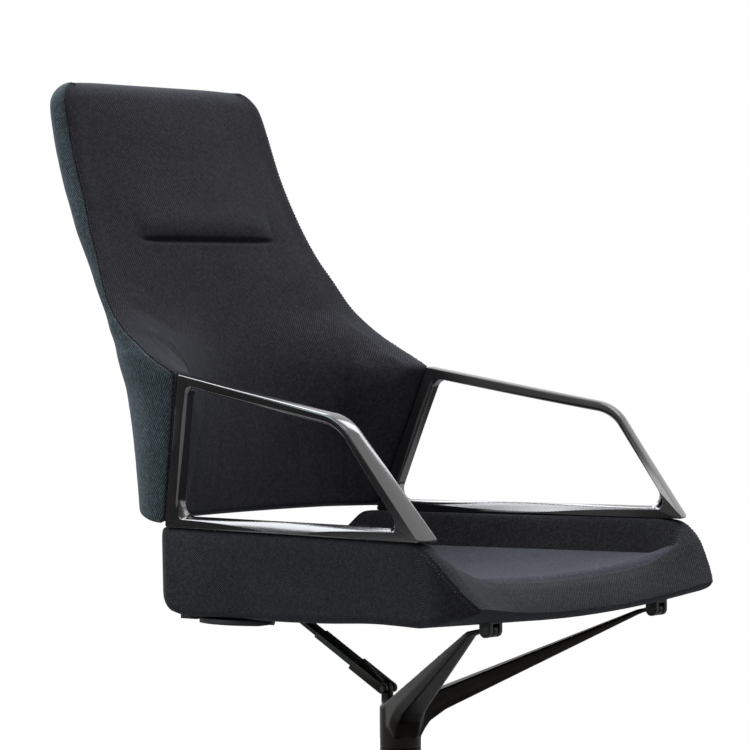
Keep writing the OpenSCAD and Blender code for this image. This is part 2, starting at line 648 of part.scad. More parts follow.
// The hub: a body round the gas spring and two arms that rise to the tilt axis. A section
// of an arm is a hexagon with its lower edges bevelled off
sleeve_gap = 0.4;
hub_bevel = 3;
knee_back = 30;
knee_drop = 2;
lug_r = strut_pin_r + ear_t / 2;
strut_z = hub_top + strut_rise;
groove_z = tube_top + height_down + 2 * over;
sleeve_r = tube_r + sleeve_gap;
boss_r = tube_bore - sleeve_gap;
knee = [tilt_half, -tilt_y + knee_back];
hub_arm_l = norm(knee);
knee_z = tilt_z - knee_drop;
hub_section_share = [[-0.5, 1], [0.5, 1], [0.5, 0.35], [0.34, 0], [-0.34, 0], [-0.5, 0.35]];
root_place_share = [-0.32, 0.5, 1, 1.2, 1.45, 2.2];
root_drop_share = [[-0.32, 0], [0.5, 0.5], [1, 0.55], [1.2, 0.33], [1.45, 0.14], [2.2, 0]];
neck_share = 0.85;
function hub_section(p, across, w, low, high) = [for (q = hub_section_share)
    [p[0] + across[0] * q[0] * w, p[1] + across[1] * q[0] * w, mix(low, high, q[1])]];
function arm_ring(place, drop) = let (t = place / hub_arm_l) hub_section(
    knee * t, unit([knee[1], -knee[0]]) * -1, mix(hub_arm_w, hub_tip_w, t),
    mix(hub_top - hub_arm_h, knee_z - hub_tip_h, t) - drop, mix(hub_top, knee_z, t));
function neck_ring(back) = hub_section([tilt_half, -tilt_y + back], [1, 0], eye_w,
    tilt_z - hub_tip_h * neck_share / 2, tilt_z + hub_tip_h * neck_share / 2);
module hub_arm() {
    bar_body(concat(
        [for (t = root_place_share) arm_ring(hub_r * t, hub_arm_h * lookup(t, root_drop_share))],
        [arm_ring(hub_arm_l, 0), neck_ring(eye_r + plate_t / 2), neck_ring(0)]));
    translate([tilt_half, -tilt_y, tilt_z]) along_x(eye_w) cylinder(r = eye_r, h = eye_w);
}
module hub_spider() color(metal) difference() {
    union() {
        rotate_extrude() polygon([[0, hub_z], [hub_r, hub_z], [hub_r, hub_top - hub_bevel],
            [hub_r - hub_bevel, hub_top], [0, hub_top]]);
        for (s = [0, 1]) mirror([s, 0, 0]) hub_arm();
        translate([0, strut_y, strut_z]) along_x(lug_w) cylinder(r = lug_r, h = lug_w);
        translate([-lug_w / 2, strut_y - lug_r, hub_top - over]) cube([lug_w, 2 * lug_r, strut_rise + over]);
    }
    translate([0, 0, hub_z - over]) cylinder(r = sleeve_r, h = boss_z - hub_z + over);
    translate([0, 0, boss_z - over]) difference() {
        cylinder(r = sleeve_r, h = groove_z - boss_z + over);
        cylinder(r = boss_r, h = groove_z - boss_z + 2 * over);
    }
    translate([0, 0, hub_z]) cylinder(r = cylinder_r, h = hub_h + hub_arm_h);
    for (s = [-1, 1]) translate([s * tilt_half, -tilt_y, tilt_z])
        along_x(eye_w + 2 * over) cylinder(r = pin_r + bush_wall, h = eye_w + 2 * over);
    translate([0, strut_y, strut_z]) along_x(housing_w) cylinder(r = strut_pin_r, h = housing_w);
}
module column_cover() color(metal) translate([0, 0, hub_z - cover_h]) tube(hub_r, sleeve_r, cover_h);
module tilt_bushes() color(dark) for (s = [-1, 1]) translate([s * tilt_half, -tilt_y, tilt_z])
    along_x(eye_w) tube(pin_r + bush_wall, pin_r + run_gap, eye_w);
module tilt_pins() color(steel) for (s = [-1, 1]) translate([s * tilt_half, -tilt_y, tilt_z])
    along_x(2 * (tilt_gap + ear_t)) cylinder(r = pin_r, h = 2 * (tilt_gap + ear_t));

// The rear strut: a housing on the hub's lug with a stage fixed in it, and a flat rod that
// slides in the stage. Each is drawn along Y from the lower pin and then turned up
tilt_max = 10;
top_wall = 1.2;
side_wall = 2;
stage_w = housing_w - 2 * side_wall;
rod_w = stage_w - 2 * side_wall;
stage_top = housing_t / 2 - top_wall;
rod_top = stage_top - top_wall;
strut_run = strut_top_y - strut_y;
strut_l = norm([strut_run, strut_top_z - strut_z]);
strut_angle = atan2(strut_top_z - strut_z, strut_run);
swing_y = tilt_y + strut_top_y;
swing_z = strut_top_z - tilt_z;
strut_closed = norm([
    swing_y * cos(tilt_max) + swing_z * sin(tilt_max) - tilt_y - strut_y,
    swing_z * cos(tilt_max) - swing_y * sin(tilt_max) + tilt_z - strut_z]);
slot_l = lug_r + 2 * over;
stage_from = slot_l + 2 * side_wall;
stage_to = strut_closed - rod_eye_r - 2 * open_gap;
rod_from = stage_from + strut_l - strut_closed + 2 * over;
rod_to = strut_l - rod_eye_r - over;
module along_strut() translate([0, strut_y, strut_z]) rotate([strut_angle, 0, 0]) children();
module beam(from, to, w, h, top) {
    translate([-w / 2, from, top - h]) cube([w, to - from, h]);
}
module strut_housing() color(metal) along_strut() difference() {
    union() {
        beam(0, housing_l, housing_w, housing_t, housing_t / 2);
        along_x(housing_w) cylinder(r = housing_t / 2, h = housing_w);
    }
    beam(-housing_t, slot_l, 2 * strut_gap, 2 * housing_t, housing_t);
    beam(stage_from, housing_l + over, stage_w, stage_t, stage_top);
    along_x(housing_w + 2 * over) cylinder(r = strut_pin_r + run_gap, h = housing_w + 2 * over);
}
module strut_stage() color(dark) along_strut() difference() {
    beam(stage_from, stage_to, stage_w, stage_t, stage_top);
    beam(stage_from - over, stage_to + over, rod_w + 2 * run_gap, rod_t + 2 * run_gap, rod_top + run_gap);
}
module strut_rod() color(metal) along_strut() difference() {
    union() {
        beam(rod_from, rod_to, rod_w, rod_t, rod_top);
        beam(rod_to - over, strut_l, lug_w, rod_t, rod_top);
        translate([0, strut_l, 0]) along_x(lug_w) cylinder(r = rod_eye_r, h = lug_w);
    }
    translate([0, strut_l, 0]) along_x(housing_w) cylinder(r = strut_pin_r + open_gap, h = housing_w);
}
module strut_pin() color(steel) translate([0, strut_y, strut_z])
    along_x(housing_w - 2 * over) cylinder(r = strut_pin_r, h = housing_w - 2 * over);
module strut_top_pin() color(steel) translate([0, strut_top_y, strut_top_z])
    along_x(2 * (strut_gap + ear_t)) cylinder(r = strut_pin_r, h = 2 * (strut_gap + ear_t));

// Five-legged base: each leg is its side profile cut to its plan
legs = 5;
leg_low_share = 0.25;
leg_bury_share = 0.8;
tip_step = 18;
leg_knee_share = 0.6;
leg_arch = 4;
tip_slope_share = 0.7;
socket_share = 0.75;
leg_low = base_top - base_hub_h * (1 - leg_low_share);
leg_high = base_top - base_hub_h * leg_low_share / 2;
module leg() {
    leg_from = base_hub_r * leg_bury_share;
    tip_r = leg_tip_w / 2;
    tip_from = base_r - tip_r;
    tip_to = base_r + tip_r + over;
    intersection() {
        translate([0, leg_root_w, 0]) rotate([90, 0, 0]) linear_extrude(height = 2 * leg_root_w) polygon([
            [0, leg_low], [leg_from, leg_low], [base_r * leg_knee_share, leg_tip_z + leg_arch],
            [tip_from, leg_tip_z], [tip_to, leg_tip_z], [tip_to, leg_tip_z + leg_tip_h * tip_slope_share],
            [tip_from, leg_tip_z + leg_tip_h], [leg_from, leg_high], [0, leg_high]]);
        linear_extrude(height = base_top) polygon(concat(
            [[0, leg_root_w / 2], [0, -leg_root_w / 2]],
            [for (a = [-90 : tip_step : 90]) [base_r + tip_r * cos(a), tip_r * sin(a)]]));
    }
}
module star_base() color(metal) difference() {
    union() {
        translate([0, 0, base_top - base_hub_h]) cylinder(r = base_hub_r, h = base_hub_h);
        for (i = [1 : legs]) rotate([0, 0, leg_angle(i)]) leg();
    }
    translate([0, 0, base_top - base_hub_h - over]) cylinder(r = tube_r, h = base_hub_h + 2 * over);
    for (i = [1 : legs]) at_leg(i) translate([0, 0, leg_tip_z - over])
        cylinder(r = stem_r, h = leg_tip_h * socket_share + over);
}

// Castors: each stands at a leg's tip and trails to the rear
neck_r = 10;
hood_gap = 2;
cap_t = 4;
rim_t = 3;
dish_depth = 3;
hood_open = 20;
web_share = 0.86;
hub_disc_share = 0.3;
hood_r = wheel_r + hood_gap + hood_t;
castor_w = 2 * wheel_w + web_t + 2 * side_gap;
axle_reach = web_t / 2 + wheel_w - cap_t;
stem_foot = 2 * wheel_r + side_gap;
function leg_angle(i) = 90 + 360 * (i - 1) / legs;
module at_leg(i) translate([base_r * cos(leg_angle(i)), base_r * sin(leg_angle(i)), 0]) children();
module at_axle(i) at_leg(i) translate([0, trail, wheel_r]) children();
module castor_stem(i) color(steel) at_leg(i) translate([0, 0, stem_foot + over])
    cylinder(r = stem_r, h = leg_tip_z + leg_tip_h * socket_share - stem_foot - over);
module hood_cut() {
    translate([0, -2 * hood_r, -over]) cube([2 * hood_r, 4 * hood_r, castor_w + 2 * over]);
}
module castor_body(i) color(dark) difference() {
    union() {
        at_axle(i) along_x(web_t) cylinder(r = wheel_r * web_share, h = web_t);
        at_axle(i) along_x(castor_w) difference() {
            cylinder(r = hood_r, h = castor_w);
            translate([0, 0, -over]) cylinder(r = wheel_r + hood_gap, h = castor_w + 2 * over);
            rotate([0, 0, hood_open]) hood_cut();
            rotate([0, 0, -hood_open]) hood_cut();
        }
        at_leg(i) translate([-web_t / 2, 0, wheel_r]) cube([web_t, trail, hood_r - hood_t / 2]);
        at_leg(i) translate([0, 0, stem_foot]) cylinder(r = neck_r, h = leg_tip_z - over - stem_foot);
    }
    at_leg(i) translate([0, 0, stem_foot + over]) cylinder(r = stem_r + run_gap, h = leg_tip_z);
    at_axle(i) along_x(castor_w) cylinder(r = axle_r, h = castor_w);
}
module castor_axle(i) color(steel) at_axle(i) along_x(2 * axle_reach) cylinder(r = axle_r, h = 2 * axle_reach);
module castor_wheel(i, side) color(dark)
    at_axle(i) mirror([(1 - side) / 2, 0, 0]) translate([web_t / 2 + side_gap, 0, 0]) rotate([0, 90, 0]) difference() {
        cylinder(r = wheel_r, h = wheel_w);
        translate([0, 0, -over]) cylinder(r = axle_r + run_gap, h = wheel_w - cap_t + over);
        translate([0, 0, wheel_w - dish_depth]) tube(wheel_r - rim_t, wheel_r * hub_disc_share, wheel_w);
    }

// Paddle that works the gas spring, hung on a pin along its inner edge, and the pads
lug_t = 5;
seat_in = 6;
pad_seat_z = floor_z + seat_in;
paddle_x = tilt_half + paddle_t / 2;
paddle_z = floor_z - 1.5 * paddle_t;
stop_y = seat_rear - seat_edge_r / 2 - stop_l / 2;
lens_share = 0.9;
barrel_share = 0.2;
lug_places = [for (s = [-1, 1]) paddle_y + s * (paddle_l / 2 + lug_t / 2 + side_gap)];
module along_y(l) rotate([90, 0, 0]) translate([0, 0, -l / 2]) children();
module height_paddle() color(dark) translate([-paddle_x, paddle_y, paddle_z]) difference() {
    union() {
        intersection() {
            translate([-paddle_w, -paddle_l / 2, -paddle_t / 2]) cube([paddle_w, paddle_l, paddle_t]);
            translate([paddle_l * lens_share - paddle_w, 0, -paddle_t]) cylinder(r = paddle_l * lens_share, h = 2 * paddle_t);
        }
        along_y(paddle_l) cylinder(r = paddle_t / 2, h = paddle_l);
    }
    along_y(2 * paddle_l) cylinder(r = paddle_pin_r + run_gap, h = 2 * paddle_l);
}
pin_l = paddle_l + 2 * (lug_t + side_gap);
module paddle_pin() color(steel) translate([-paddle_x, paddle_y, paddle_z]) along_y(pin_l)
    cylinder(r = paddle_pin_r, h = pin_l);
module paddle_bracket() color(dark) for (y = lug_places) translate([-paddle_x, y, paddle_z]) difference() {
    union() {
        along_y(lug_t) cylinder(r = paddle_t / 2, h = lug_t);
        translate([-paddle_t / 2, -lug_t / 2, 0]) cube([paddle_t, lug_t, pad_seat_z - paddle_z]);
    }
    along_y(2 * lug_t) cylinder(r = paddle_pin_r, h = 2 * lug_t);
}
module stop_pads() color(dark) for (s = [-1, 1])
    translate([s * tilt_half - stop_w / 2, stop_y - stop_l / 2, floor_z - stop_h])
        cube([stop_w, stop_l, stop_h + seat_in]);

star_base();
stand_tube();
guide_bush();
thrust_bearing();
piston_rod();
retaining_clip();
pressure_cylinder();
release_pin();
hub_spider();
column_cover();
tilt_bushes();
tilt_pins();
tilt_brackets();
strut_pin();
strut_housing();
strut_stage();
strut_rod();
strut_top_pin();
strut_bracket();
bracket_screws();
seat_shell();
seat_cushion();
left_arm();
right_arm();
arm_screws();
back_shell();
back_cushion();
height_paddle();
paddle_pin();
paddle_bracket();
stop_pads();
for (i = [1 : legs]) {
    castor_body(i);
    castor_stem(i);
    castor_axle(i);
    castor_wheel(i, 1);
    castor_wheel(i, -1);
}
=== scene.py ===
import json
import math

import bmesh
import bpy
import numpy as np
from mathutils import Matrix, Vector
from mathutils.bvhtree import BVHTree
from mathutils.kdtree import KDTree


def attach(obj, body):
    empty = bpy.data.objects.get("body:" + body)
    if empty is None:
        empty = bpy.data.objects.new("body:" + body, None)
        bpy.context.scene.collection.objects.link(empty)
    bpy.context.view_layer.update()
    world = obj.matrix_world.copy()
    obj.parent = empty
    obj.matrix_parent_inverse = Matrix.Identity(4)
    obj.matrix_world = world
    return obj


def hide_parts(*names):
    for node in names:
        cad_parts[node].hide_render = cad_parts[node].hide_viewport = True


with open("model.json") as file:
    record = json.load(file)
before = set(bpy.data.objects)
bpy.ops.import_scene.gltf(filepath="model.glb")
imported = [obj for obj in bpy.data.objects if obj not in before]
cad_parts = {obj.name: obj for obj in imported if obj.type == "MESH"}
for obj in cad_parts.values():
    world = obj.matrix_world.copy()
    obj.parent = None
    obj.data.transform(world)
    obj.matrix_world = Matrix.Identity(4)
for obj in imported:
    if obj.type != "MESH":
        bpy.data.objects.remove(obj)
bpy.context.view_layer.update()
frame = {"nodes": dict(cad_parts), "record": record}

MM = 0.001

# Sizes, in millimetres
RAIL_Z, WALL_H = 500.0, 112.0
SEAT_REAR, SEAT_FRONT, LIP_D, LIP_BACK, NOSE_IN = 235.0, 331.0, 91.0, 19.0, 38.0
PAD_DROP, PAD_DISH, PAD_T, BELLY = 43.0, 11.0, 44.0, 7.0
SEAT_EDGE_R, SEAT_CORNER_R, SIDE_EDGE_R, UPRIGHT_REAR = 26.0, 38.0, 15.0, 170.0
ARM_HALF, ARM_SPLAY, ARM_LEAN, ARM_REAR, ARM_FOOT = 237.0, 7.9, 9.0, 211.0, 265.0
ARM_RISE, ARM_TOP_REAR, BEND_RISE, BEND_FRONT, BEND_R = 205.0, 150.0, 154.0, 144.0, 70.0
ARM_REAR_T, ARM_TOP_T, ARM_FRONT_T, ARM_BASE_T = 20.0, 14.0, 14.0, 16.0
ARM_REAR_W, ARM_BEND_W, ARM_FOOT_W, ARM_TOE, ARM_THIN, ARM_EDGE_R = 20.0, 21.0, 29.0, 10.0, 8.0, 2.5
BACK_H, BACK_GAP, TOP_HALF, TOP_EDGE_Y, LUMBAR_Y = 600.0, 6.0, 202.0, 424.0, 250.0
FRONT_LEAN, REAR_Y, REAR_LEAN, CUP_D, WING_T = 170.0, 330.0, 152.0, 56.0, 28.0
TOP_CORNER_R, TOP_REAR_R, CREST_FALL, TUCK_D, TUCK_HALF = 31.0, 46.0, 2.5, 9.0, 143.0
SOFT_GAP, FLOOR_R = 0.3, 1700.0
# Room for moving pieces: low and high corner, or inner radius, outer radius, foot and top
STRUT_POCKET = ((-13.5, 168.0, 370.0), (13.5, 206.0, 400.2))
PADDLE_POCKET = ((-229.5, 66.5, 370.0), (-185.5, 173.5, 386.0))
HUB_GROOVE = (22.6, 25.4, 190.0, 247.0)
# Grooves: depth, width and where it differs the share of the rolls beside them
SEAM, CREASE, PAD_SEAM, CORNER_SEAM = (0.55, 1.1), (2.2, 2.8, 0.2), (1.6, 1.8), (1.0, 1.3)
STITCH_PITCH, STITCH_LENGTH, STITCH_THICK, STITCH_ASIDE = 4.6, 3.1, 0.55, 3.6
# Cloth: the most that each cover swells, the foam's push, the loosest point's give, the hems
BACK_SWELL, PAD_SWELL, PUSH, GIVE, CLOTH_STEPS = 2.5, 5.0, 3.0, 0.9, 20
HEM_ROWS, BACK_HEM, PAD_HEM = 8, 10, 8
FLOOR_Z = RAIL_Z - WALL_H
BACK_Z = RAIL_Z + BACK_GAP
BACK_TOP = BACK_Z + BACK_H
ARM_TOP_Z = RAIL_Z + ARM_RISE
PAD_REAR = SEAT_REAR - SEAT_EDGE_R
ROLL_Y = SEAT_FRONT - LIP_D


def curve(points):
    """A smooth line through a table of places and values that never overshoots them."""
    x, y = np.array(points, float).T
    gap = np.diff(x)
    rise = np.diff(y) / gap
    slope = np.zeros(len(x))
    both = rise[:-1] * rise[1:]
    total = rise[:-1] + rise[1:]
    slope[1:-1] = np.where(both > 0, 2 * both / np.where(total == 0, 1, total), 0)
    slope[0], slope[-1] = rise[0], rise[-1]

    def at(value):
        value = np.clip(value, x[0], x[-1])
        i = np.clip(np.searchsorted(x, value) - 1, 0, len(gap) - 1)
        t = (value - x[i]) / gap[i]
        return (y[i] * (2 * t**3 - 3 * t**2 + 1) + slope[i] * gap[i] * (t**3 - 2 * t**2 + t)
                + y[i + 1] * (3 * t**2 - 2 * t**3) + slope[i + 1] * gap[i] * (t**3 - t**2))
    return at


def mix(a, b, t):
    return a + (b - a) * t


def ease(t):
    t = np.clip(t, 0, 1)
    return t * t * (3 - 2 * t)


def roll(e, r):
    e = np.clip(e, 0, r)
    return 1 - np.sqrt(1 - (1 - e / r) ** 2)


def side_lean(y):
    """The seat's sides lean out like the arms, but stand upright at the rear corners."""
    return ease((SEAT_REAR - y) / UPRIGHT_REAR)


def arm_x(y, z):
    return (ARM_HALF + (ARM_REAR - y) * math.tan(math.radians(ARM_SPLAY))
            + (z - RAIL_Z) * math.tan(math.radians(ARM_LEAN)))


# Camera and light
def new_object(name, data):
    """An object for a camera, a light or a mesh, linked to the scene."""
    made = bpy.data.objects.new(name, data)
    bpy.context.scene.collection.objects.link(made)
    return made


def photo_camera():
    """Stands where the photograph was taken from."""
    yaw, pitch, tilt = 0.6660039, -0.02049, -0.00641
    eye = Vector((-3.71492, -2.87930, 0.79605))
    view = Vector((math.cos(yaw) * math.cos(pitch), math.sin(yaw) * math.cos(pitch), math.sin(pitch)))
    level = Vector((math.sin(yaw), -math.cos(yaw), 0))
    upright = level.cross(view)
    right = math.cos(tilt) * level + math.sin(tilt) * upright
    up = math.cos(tilt) * upright - math.sin(tilt) * level
    data = bpy.data.cameras.new("photo_camera")
    data.sensor_width = 36
    data.lens = 167.93
    data.clip_end = 200
    data.dof.use_dof = False
    camera = new_object("photo_camera", data)
    camera.matrix_world = Matrix.Translation(eye) @ Matrix((right, up, -view)).transposed().to_4x4()
    bpy.context.scene.camera = camera


def hex_colour(text):
    """An sRGB hex value as the linear colour that a shader wants."""
    channels = [int(text[i:i + 2], 16) / 255 for i in (1, 3, 5)]
    return [c / 12.92 if c <= 0.04045 else ((c + 0.055) / 1.055) ** 2.4 for c in channels] + [1.0]


def soft_box(name, place, aim, width, height, power, colour):
    data = bpy.data.lights.new(name, "AREA")
    data.shape = "RECTANGLE"
    data.size, data.size_y = width, height
    data.energy = power
    data.color = hex_colour(colour)[:3]
    lamp = new_object(name, data)
    lamp.location = place
    lamp.rotation_euler = (Vector(aim) - Vector(place)).to_track_quat("-Z", "Y").to_euler()


def add(tree, kind, settings=None, links=None, stops=(), **fields):
    """Adds one node: settings are its socket values, links its inputs from other nodes, and
    stops the places and colours along a ramp."""
    node = tree.nodes.new(kind)
    for name, value in fields.items():
        setattr(node, name, value)
    for name, value in (settings or {}).items():
        node.inputs[name].default_value = value
    for name, source in (links or {}).items():
        tree.links.new(source, node.inputs[name])
    for i, (place, colour) in enumerate(stops):
        elements = node.color_ramp.elements
        element = elements[i] if i < len(elements) else elements.new(place)
        element.position = place
        element.color = hex_colour(colour)
    return node


def studio():
    """White surroundings that are brightest behind and above the chair, darker on the
    photographer's side, with large soft boxes over them."""
    bpy.context.scene.view_settings.view_transform = "Standard"
    world = bpy.data.worlds.new("studio_white")
    bpy.context.scene.world = world
    world.use_nodes = True
    tree = world.node_tree
    way = add(tree, "ShaderNodeTexCoord").outputs["Generated"]
    behind = add(tree, "ShaderNodeVectorMath", {1: (0.79, 0.61, 0.0)}, {0: way}, operation="DOT_PRODUCT")
    height = add(tree, "ShaderNodeSeparateXYZ", None, {"Vector": way}).outputs["Z"]
    # Light from behind and from above, and the share of it that is left near the ground
    glow, sky, ground = (
        add(tree, "ShaderNodeMapRange", {"From Min": a, "From Max": b, "To Min": c, "To Max": d},
            {"Value": source}, interpolation_type="SMOOTHSTEP").outputs["Result"]
        for source, a, b, c, d in ((behind.outputs["Value"], -0.15, 0.85, 0.24, 0.95),
                                   (height, 0.2, 0.95, 0.0, 0.7), (height, -0.3, 0.05, 0.15, 1.0)))
    sum_up = add(tree, "ShaderNodeMath", None, {0: glow, 1: sky}, operation="ADD")
    light = add(tree, "ShaderNodeMath", None, {0: sum_up.outputs[0], 1: ground}, operation="MULTIPLY")
    seen = add(tree, "ShaderNodeLightPath").outputs["Is Camera Ray"]
    level = add(tree, "ShaderNodeMix", {3: 1.0}, {0: seen, 2: light.outputs[0]})
    backdrop = tree.nodes["Background"]
    backdrop.inputs["Color"].default_value = hex_colour("#ffffff")
    tree.links.new(level.outputs[0], backdrop.inputs["Strength"])
    soft_box("strip_behind", (0.0, 2.1, 2.3), (-0.1, 0, 0.55), 3.4, 2.2, 115, "#f4f9ff")
    soft_box("window_left", (-3.3, 2.8, 1.3), (0, 0.1, 0.72), 1.2, 2.0, 24, "#d6eef0")
    soft_box("overhead_left", (-1.5, -0.4, 3.0), (0, 0, 0.6), 1.6, 1.6, 15, "#ffffff")
    soft_box("overhead_right", (1.0, -0.5, 2.8), (-0.25, -0.2, 0.58), 1.2, 1.6, 32, "#f2f5ff")
    soft_box("window_right", (3.1, -2.5, 1.2), (0, 0, 0.6), 1.5, 2.4, 10, "#f6f4f8")


# Materials
def surface(name, constants):
    """A material with fixed values on its shader, its tree, and the place on the piece."""
    material = bpy.data.materials.new(name)
    material.use_nodes = True
    tree = material.node_tree
    for socket, value in constants.items():
        tree.nodes["Principled BSDF"].inputs[socket].default_value = value
    return material, tree, add(tree, "ShaderNodeTexCoord").outputs["Object"]


def lead_in(material, tone=None, gloss=None, relief=None):
    """Leads patterns into a shader: colours (pattern, stops), roughness (pattern, low, high) and
    relief (pattern, strength, depth in millimetres)."""
    tree = material.node_tree
    sources = {}
    if tone:
        colours = add(tree, "ShaderNodeValToRGB", None, {"Fac": tone[0]}, tone[1])
        sources["Base Color"] = colours.outputs["Color"]
    if gloss:
        rough = add(tree, "ShaderNodeMapRange", {"To Min": gloss[1], "To Max": gloss[2]},
                    {"Value": gloss[0]})
        sources["Roughness"] = rough.outputs["Result"]
    if relief:
        bump = add(tree, "ShaderNodeBump", {"Strength": relief[1], "Distance": relief[2] * MM},
                   {"Height": relief[0]})
        sources["Normal"] = bump.outputs["Normal"]
    for socket, source in sources.items():
        tree.links.new(source, tree.nodes["Principled BSDF"].inputs[socket])
    return material


TWILL_RIB = 2.7    # mm between two ribs of the weave; the real 1.2 mm would not show
YARN_STEP = 2.4    # mm along a rib from one float to the next


def wool_twill(name, dark, light, rib_depth, dusty):
    """Wool upholstery twill: fine slanted ribs of two dark yarns under a short fuzz that
    catches light at grazing angles."""
    material, tree, place = surface(name, {
        "Roughness": 0.92, "IOR": 1.45, "Specular IOR Level": 0.2, "Sheen Weight": 0.1,
        "Sheen Roughness": 0.45, "Sheen Tint": hex_colour("#aebcc4")})
    flat = add(tree, "ShaderNodeAttribute", attribute_name="cloth").outputs["Vector"]
    drift = add(tree, "ShaderNodeTexNoise", {"Scale": 45.0, "Detail": 2.0}, {"Vector": place})
    shift = add(tree, "ShaderNodeVectorMath", {"Scale": 1.6}, {0: drift.outputs["Color"]},
                operation="SCALE")
    bent = add(tree, "ShaderNodeVectorMath", None, {0: flat, 1: shift.outputs["Vector"]}, operation="ADD")
    waves = []
    for step, slant in ((TWILL_RIB, -1), (YARN_STEP, 1)):
        turn = 2 * math.pi / (step * math.sqrt(2))
        phase = add(tree, "ShaderNodeVectorMath", {1: (turn, slant * turn, 0.0)},
                    {0: bent.outputs["Vector"]}, operation="DOT_PRODUCT")
        wave = add(tree, "ShaderNodeMath", None, {0: phase.outputs["Value"]}, operation="SINE")
        waves.append(add(tree, "ShaderNodeMapRange", {"From Min": -1.0, "From Max": 1.0},
                         {"Value": wave.outputs[0]}).outputs["Result"])
    floats = add(tree, "ShaderNodeMath", None, {0: waves[0], 1: waves[1]}, operation="MULTIPLY")
    weave = add(tree, "ShaderNodeMix", {"Factor": 0.6}, {2: waves[0], 3: floats.outputs[0]})
    fuzz, wear, slub = (
        add(tree, "ShaderNodeTexNoise", {"Scale": scale, "Detail": detail, "Roughness": rough},
            {"Vector": place}).outputs["Fac"]
        for scale, detail, rough in ((900.0, 3.0, 0.7), (9.0, 3.0, 0.6), (210.0, 2.0, 0.8)))
    height = add(tree, "ShaderNodeMix", {"Factor": 0.35}, {2: weave.outputs[0], 3: fuzz}).outputs[0]
    uneven = add(tree, "ShaderNodeMix", {"Factor": 0.75}, {2: wear, 3: slub})
    tone = add(tree, "ShaderNodeMix", {"Factor": 0.55}, {2: height, 3: uneven.outputs[0]})
    return lead_in(material, (tone.outputs[0], [(0.25, dark), (0.5, light), (0.72, dusty)]),
                   relief=(height, 0.5, rib_depth))


def black_nickel(name, colour, rough, grain):
    """Polished die-cast metal under dark plating: deep reflections, faint buffing lines and
    a few soft smears."""
    material, tree, place = surface(name, {"Base Color": hex_colour(colour), "Metallic": 1.0})
    smear = add(tree, "ShaderNodeTexNoise", {"Scale": 14.0, "Detail": 4.0, "Roughness": 0.6},
                {"Vector": place})
    lengthwise = add(tree, "ShaderNodeMapping", {"Scale": (40.0, 4.0, 40.0)}, {"Vector": place})
    buffing = add(tree, "ShaderNodeTexNoise", {"Scale": 60.0, "Detail": 2.0},
                  {"Vector": lengthwise.outputs["Vector"]})
    return lead_in(material, None, (smear.outputs["Fac"], rough * 0.8, rough * 1.35),
                   (buffing.outputs["Fac"], grain, 0.02))


def satin_casting(name, low, high, rough):
    """Bead-blasted and dark-plated casting: an even satin skin with a fine grit."""
    material, tree, place = surface(name, {"Metallic": 1.0})
    grit = add(tree, "ShaderNodeTexNoise", {"Scale": 1400.0, "Detail": 2.0}, {"Vector": place})
    cloud = add(tree, "ShaderNodeTexNoise", {"Scale": 18.0, "Detail": 4.0}, {"Vector": place})
    return lead_in(material, (cloud.outputs["Fac"], [(0.3, low), (0.7, high)]),
                   (grit.outputs["Fac"], rough * 0.85, rough * 1.2), (grit.outputs["Fac"], 0.12, 0.05))


def moulded(name, low, high, rough, grain_mm):
    """Moulded plastic or rubber: a fine eroded grain and slightly uneven tone."""
    material, tree, place = surface(name, {"IOR": 1.49})
    grain = add(tree, "ShaderNodeTexVoronoi", {"Scale": 1 / (grain_mm * MM)}, {"Vector": place})
    cloud = add(tree, "ShaderNodeTexNoise", {"Scale": 25.0, "Detail": 4.0}, {"Vector": place})
    return lead_in(material, (cloud.outputs["Fac"], [(0.3, low), (0.7, high)]),
                   (cloud.outputs["Fac"], rough * 0.85, rough * 1.15),
                   (grain.outputs["Distance"], 0.2, 0.06))


def studio_floor(name):
    """Matt painted floor, pale and even. The camera sees it as white as the backdrop, and the
    chair's reflections see paint."""
    material, tree, place = surface(name, {"Roughness": 0.9, "Emission Color": hex_colour("#ffffff")})
    cloud = add(tree, "ShaderNodeTexNoise", {"Scale": 0.8, "Detail": 3.0}, {"Vector": place})
    seen = add(tree, "ShaderNodeLightPath").outputs["Is Camera Ray"]
    lift = add(tree, "ShaderNodeMath", {1: 0.85}, {0: seen}, operation="MULTIPLY")
    tree.links.new(lift.outputs[0], tree.nodes["Principled BSDF"].inputs["Emission Strength"])
    return lead_in(material, (cloud.outputs["Fac"], [(0.2, "#8e8e8e"), (0.8, "#949494")]))


FINISH = {
    "panel_fabric": wool_twill("wool_twill_panel", "#0e0e10", "#27262b", 0.5, "#45444d"),
    # The cover's lighter, teal tones are partly the fabric's own and partly painted rim light from the left
    # and behind.
    "cover_fabric": wool_twill("wool_twill_cover_painted_rim_light", "#0e1213", "#353e42", 1.0, "#73848b"),
    "tub_fabric": wool_twill("wool_twill_tub", "#0d0d0f", "#26262a", 0.8, "#4b4b50"),
    # The pad's lighter, bluish tones are partly the fabric's own and partly painted light from above.
    "pad_fabric": wool_twill("wool_twill_pad_painted_top_light", "#121216", "#36363e", 0.8, "#5f606d"),
    # The thread is a little lighter than the fabric, partly as painted glint on the stitches.
    "thread": moulded("sewing_thread_painted_glint", "#2a2b30", "#3a3c42", 0.6, 0.3),
    "bronze_metal": black_nickel("black_nickel_polish", "#6e6d6d", 0.15, 0.1),
    "satin_hub_metal": satin_casting("dark_plated_casting", "#2b2826", "#36322f", 0.4),
    "black_steel": moulded("powder_coat_black", "#141517", "#1c1d20", 0.5, 0.5),
    "bright_steel": black_nickel("ground_steel", "#4a4b4d", 0.25, 0.4),
    "black_plastic": moulded("nylon_black", "#121214", "#1b1b1e", 0.55, 0.4),
    "pale_plastic": moulded("acetal_dark", "#2c2c2d", "#38383a", 0.45, 0.5),
    "black_rubber": moulded("rubber_black", "#0e0e10", "#17171a", 0.8, 0.4),
    "tread_plastic": moulded("polyurethane_tread", "#161619", "#202024", 0.6, 0.35),
}


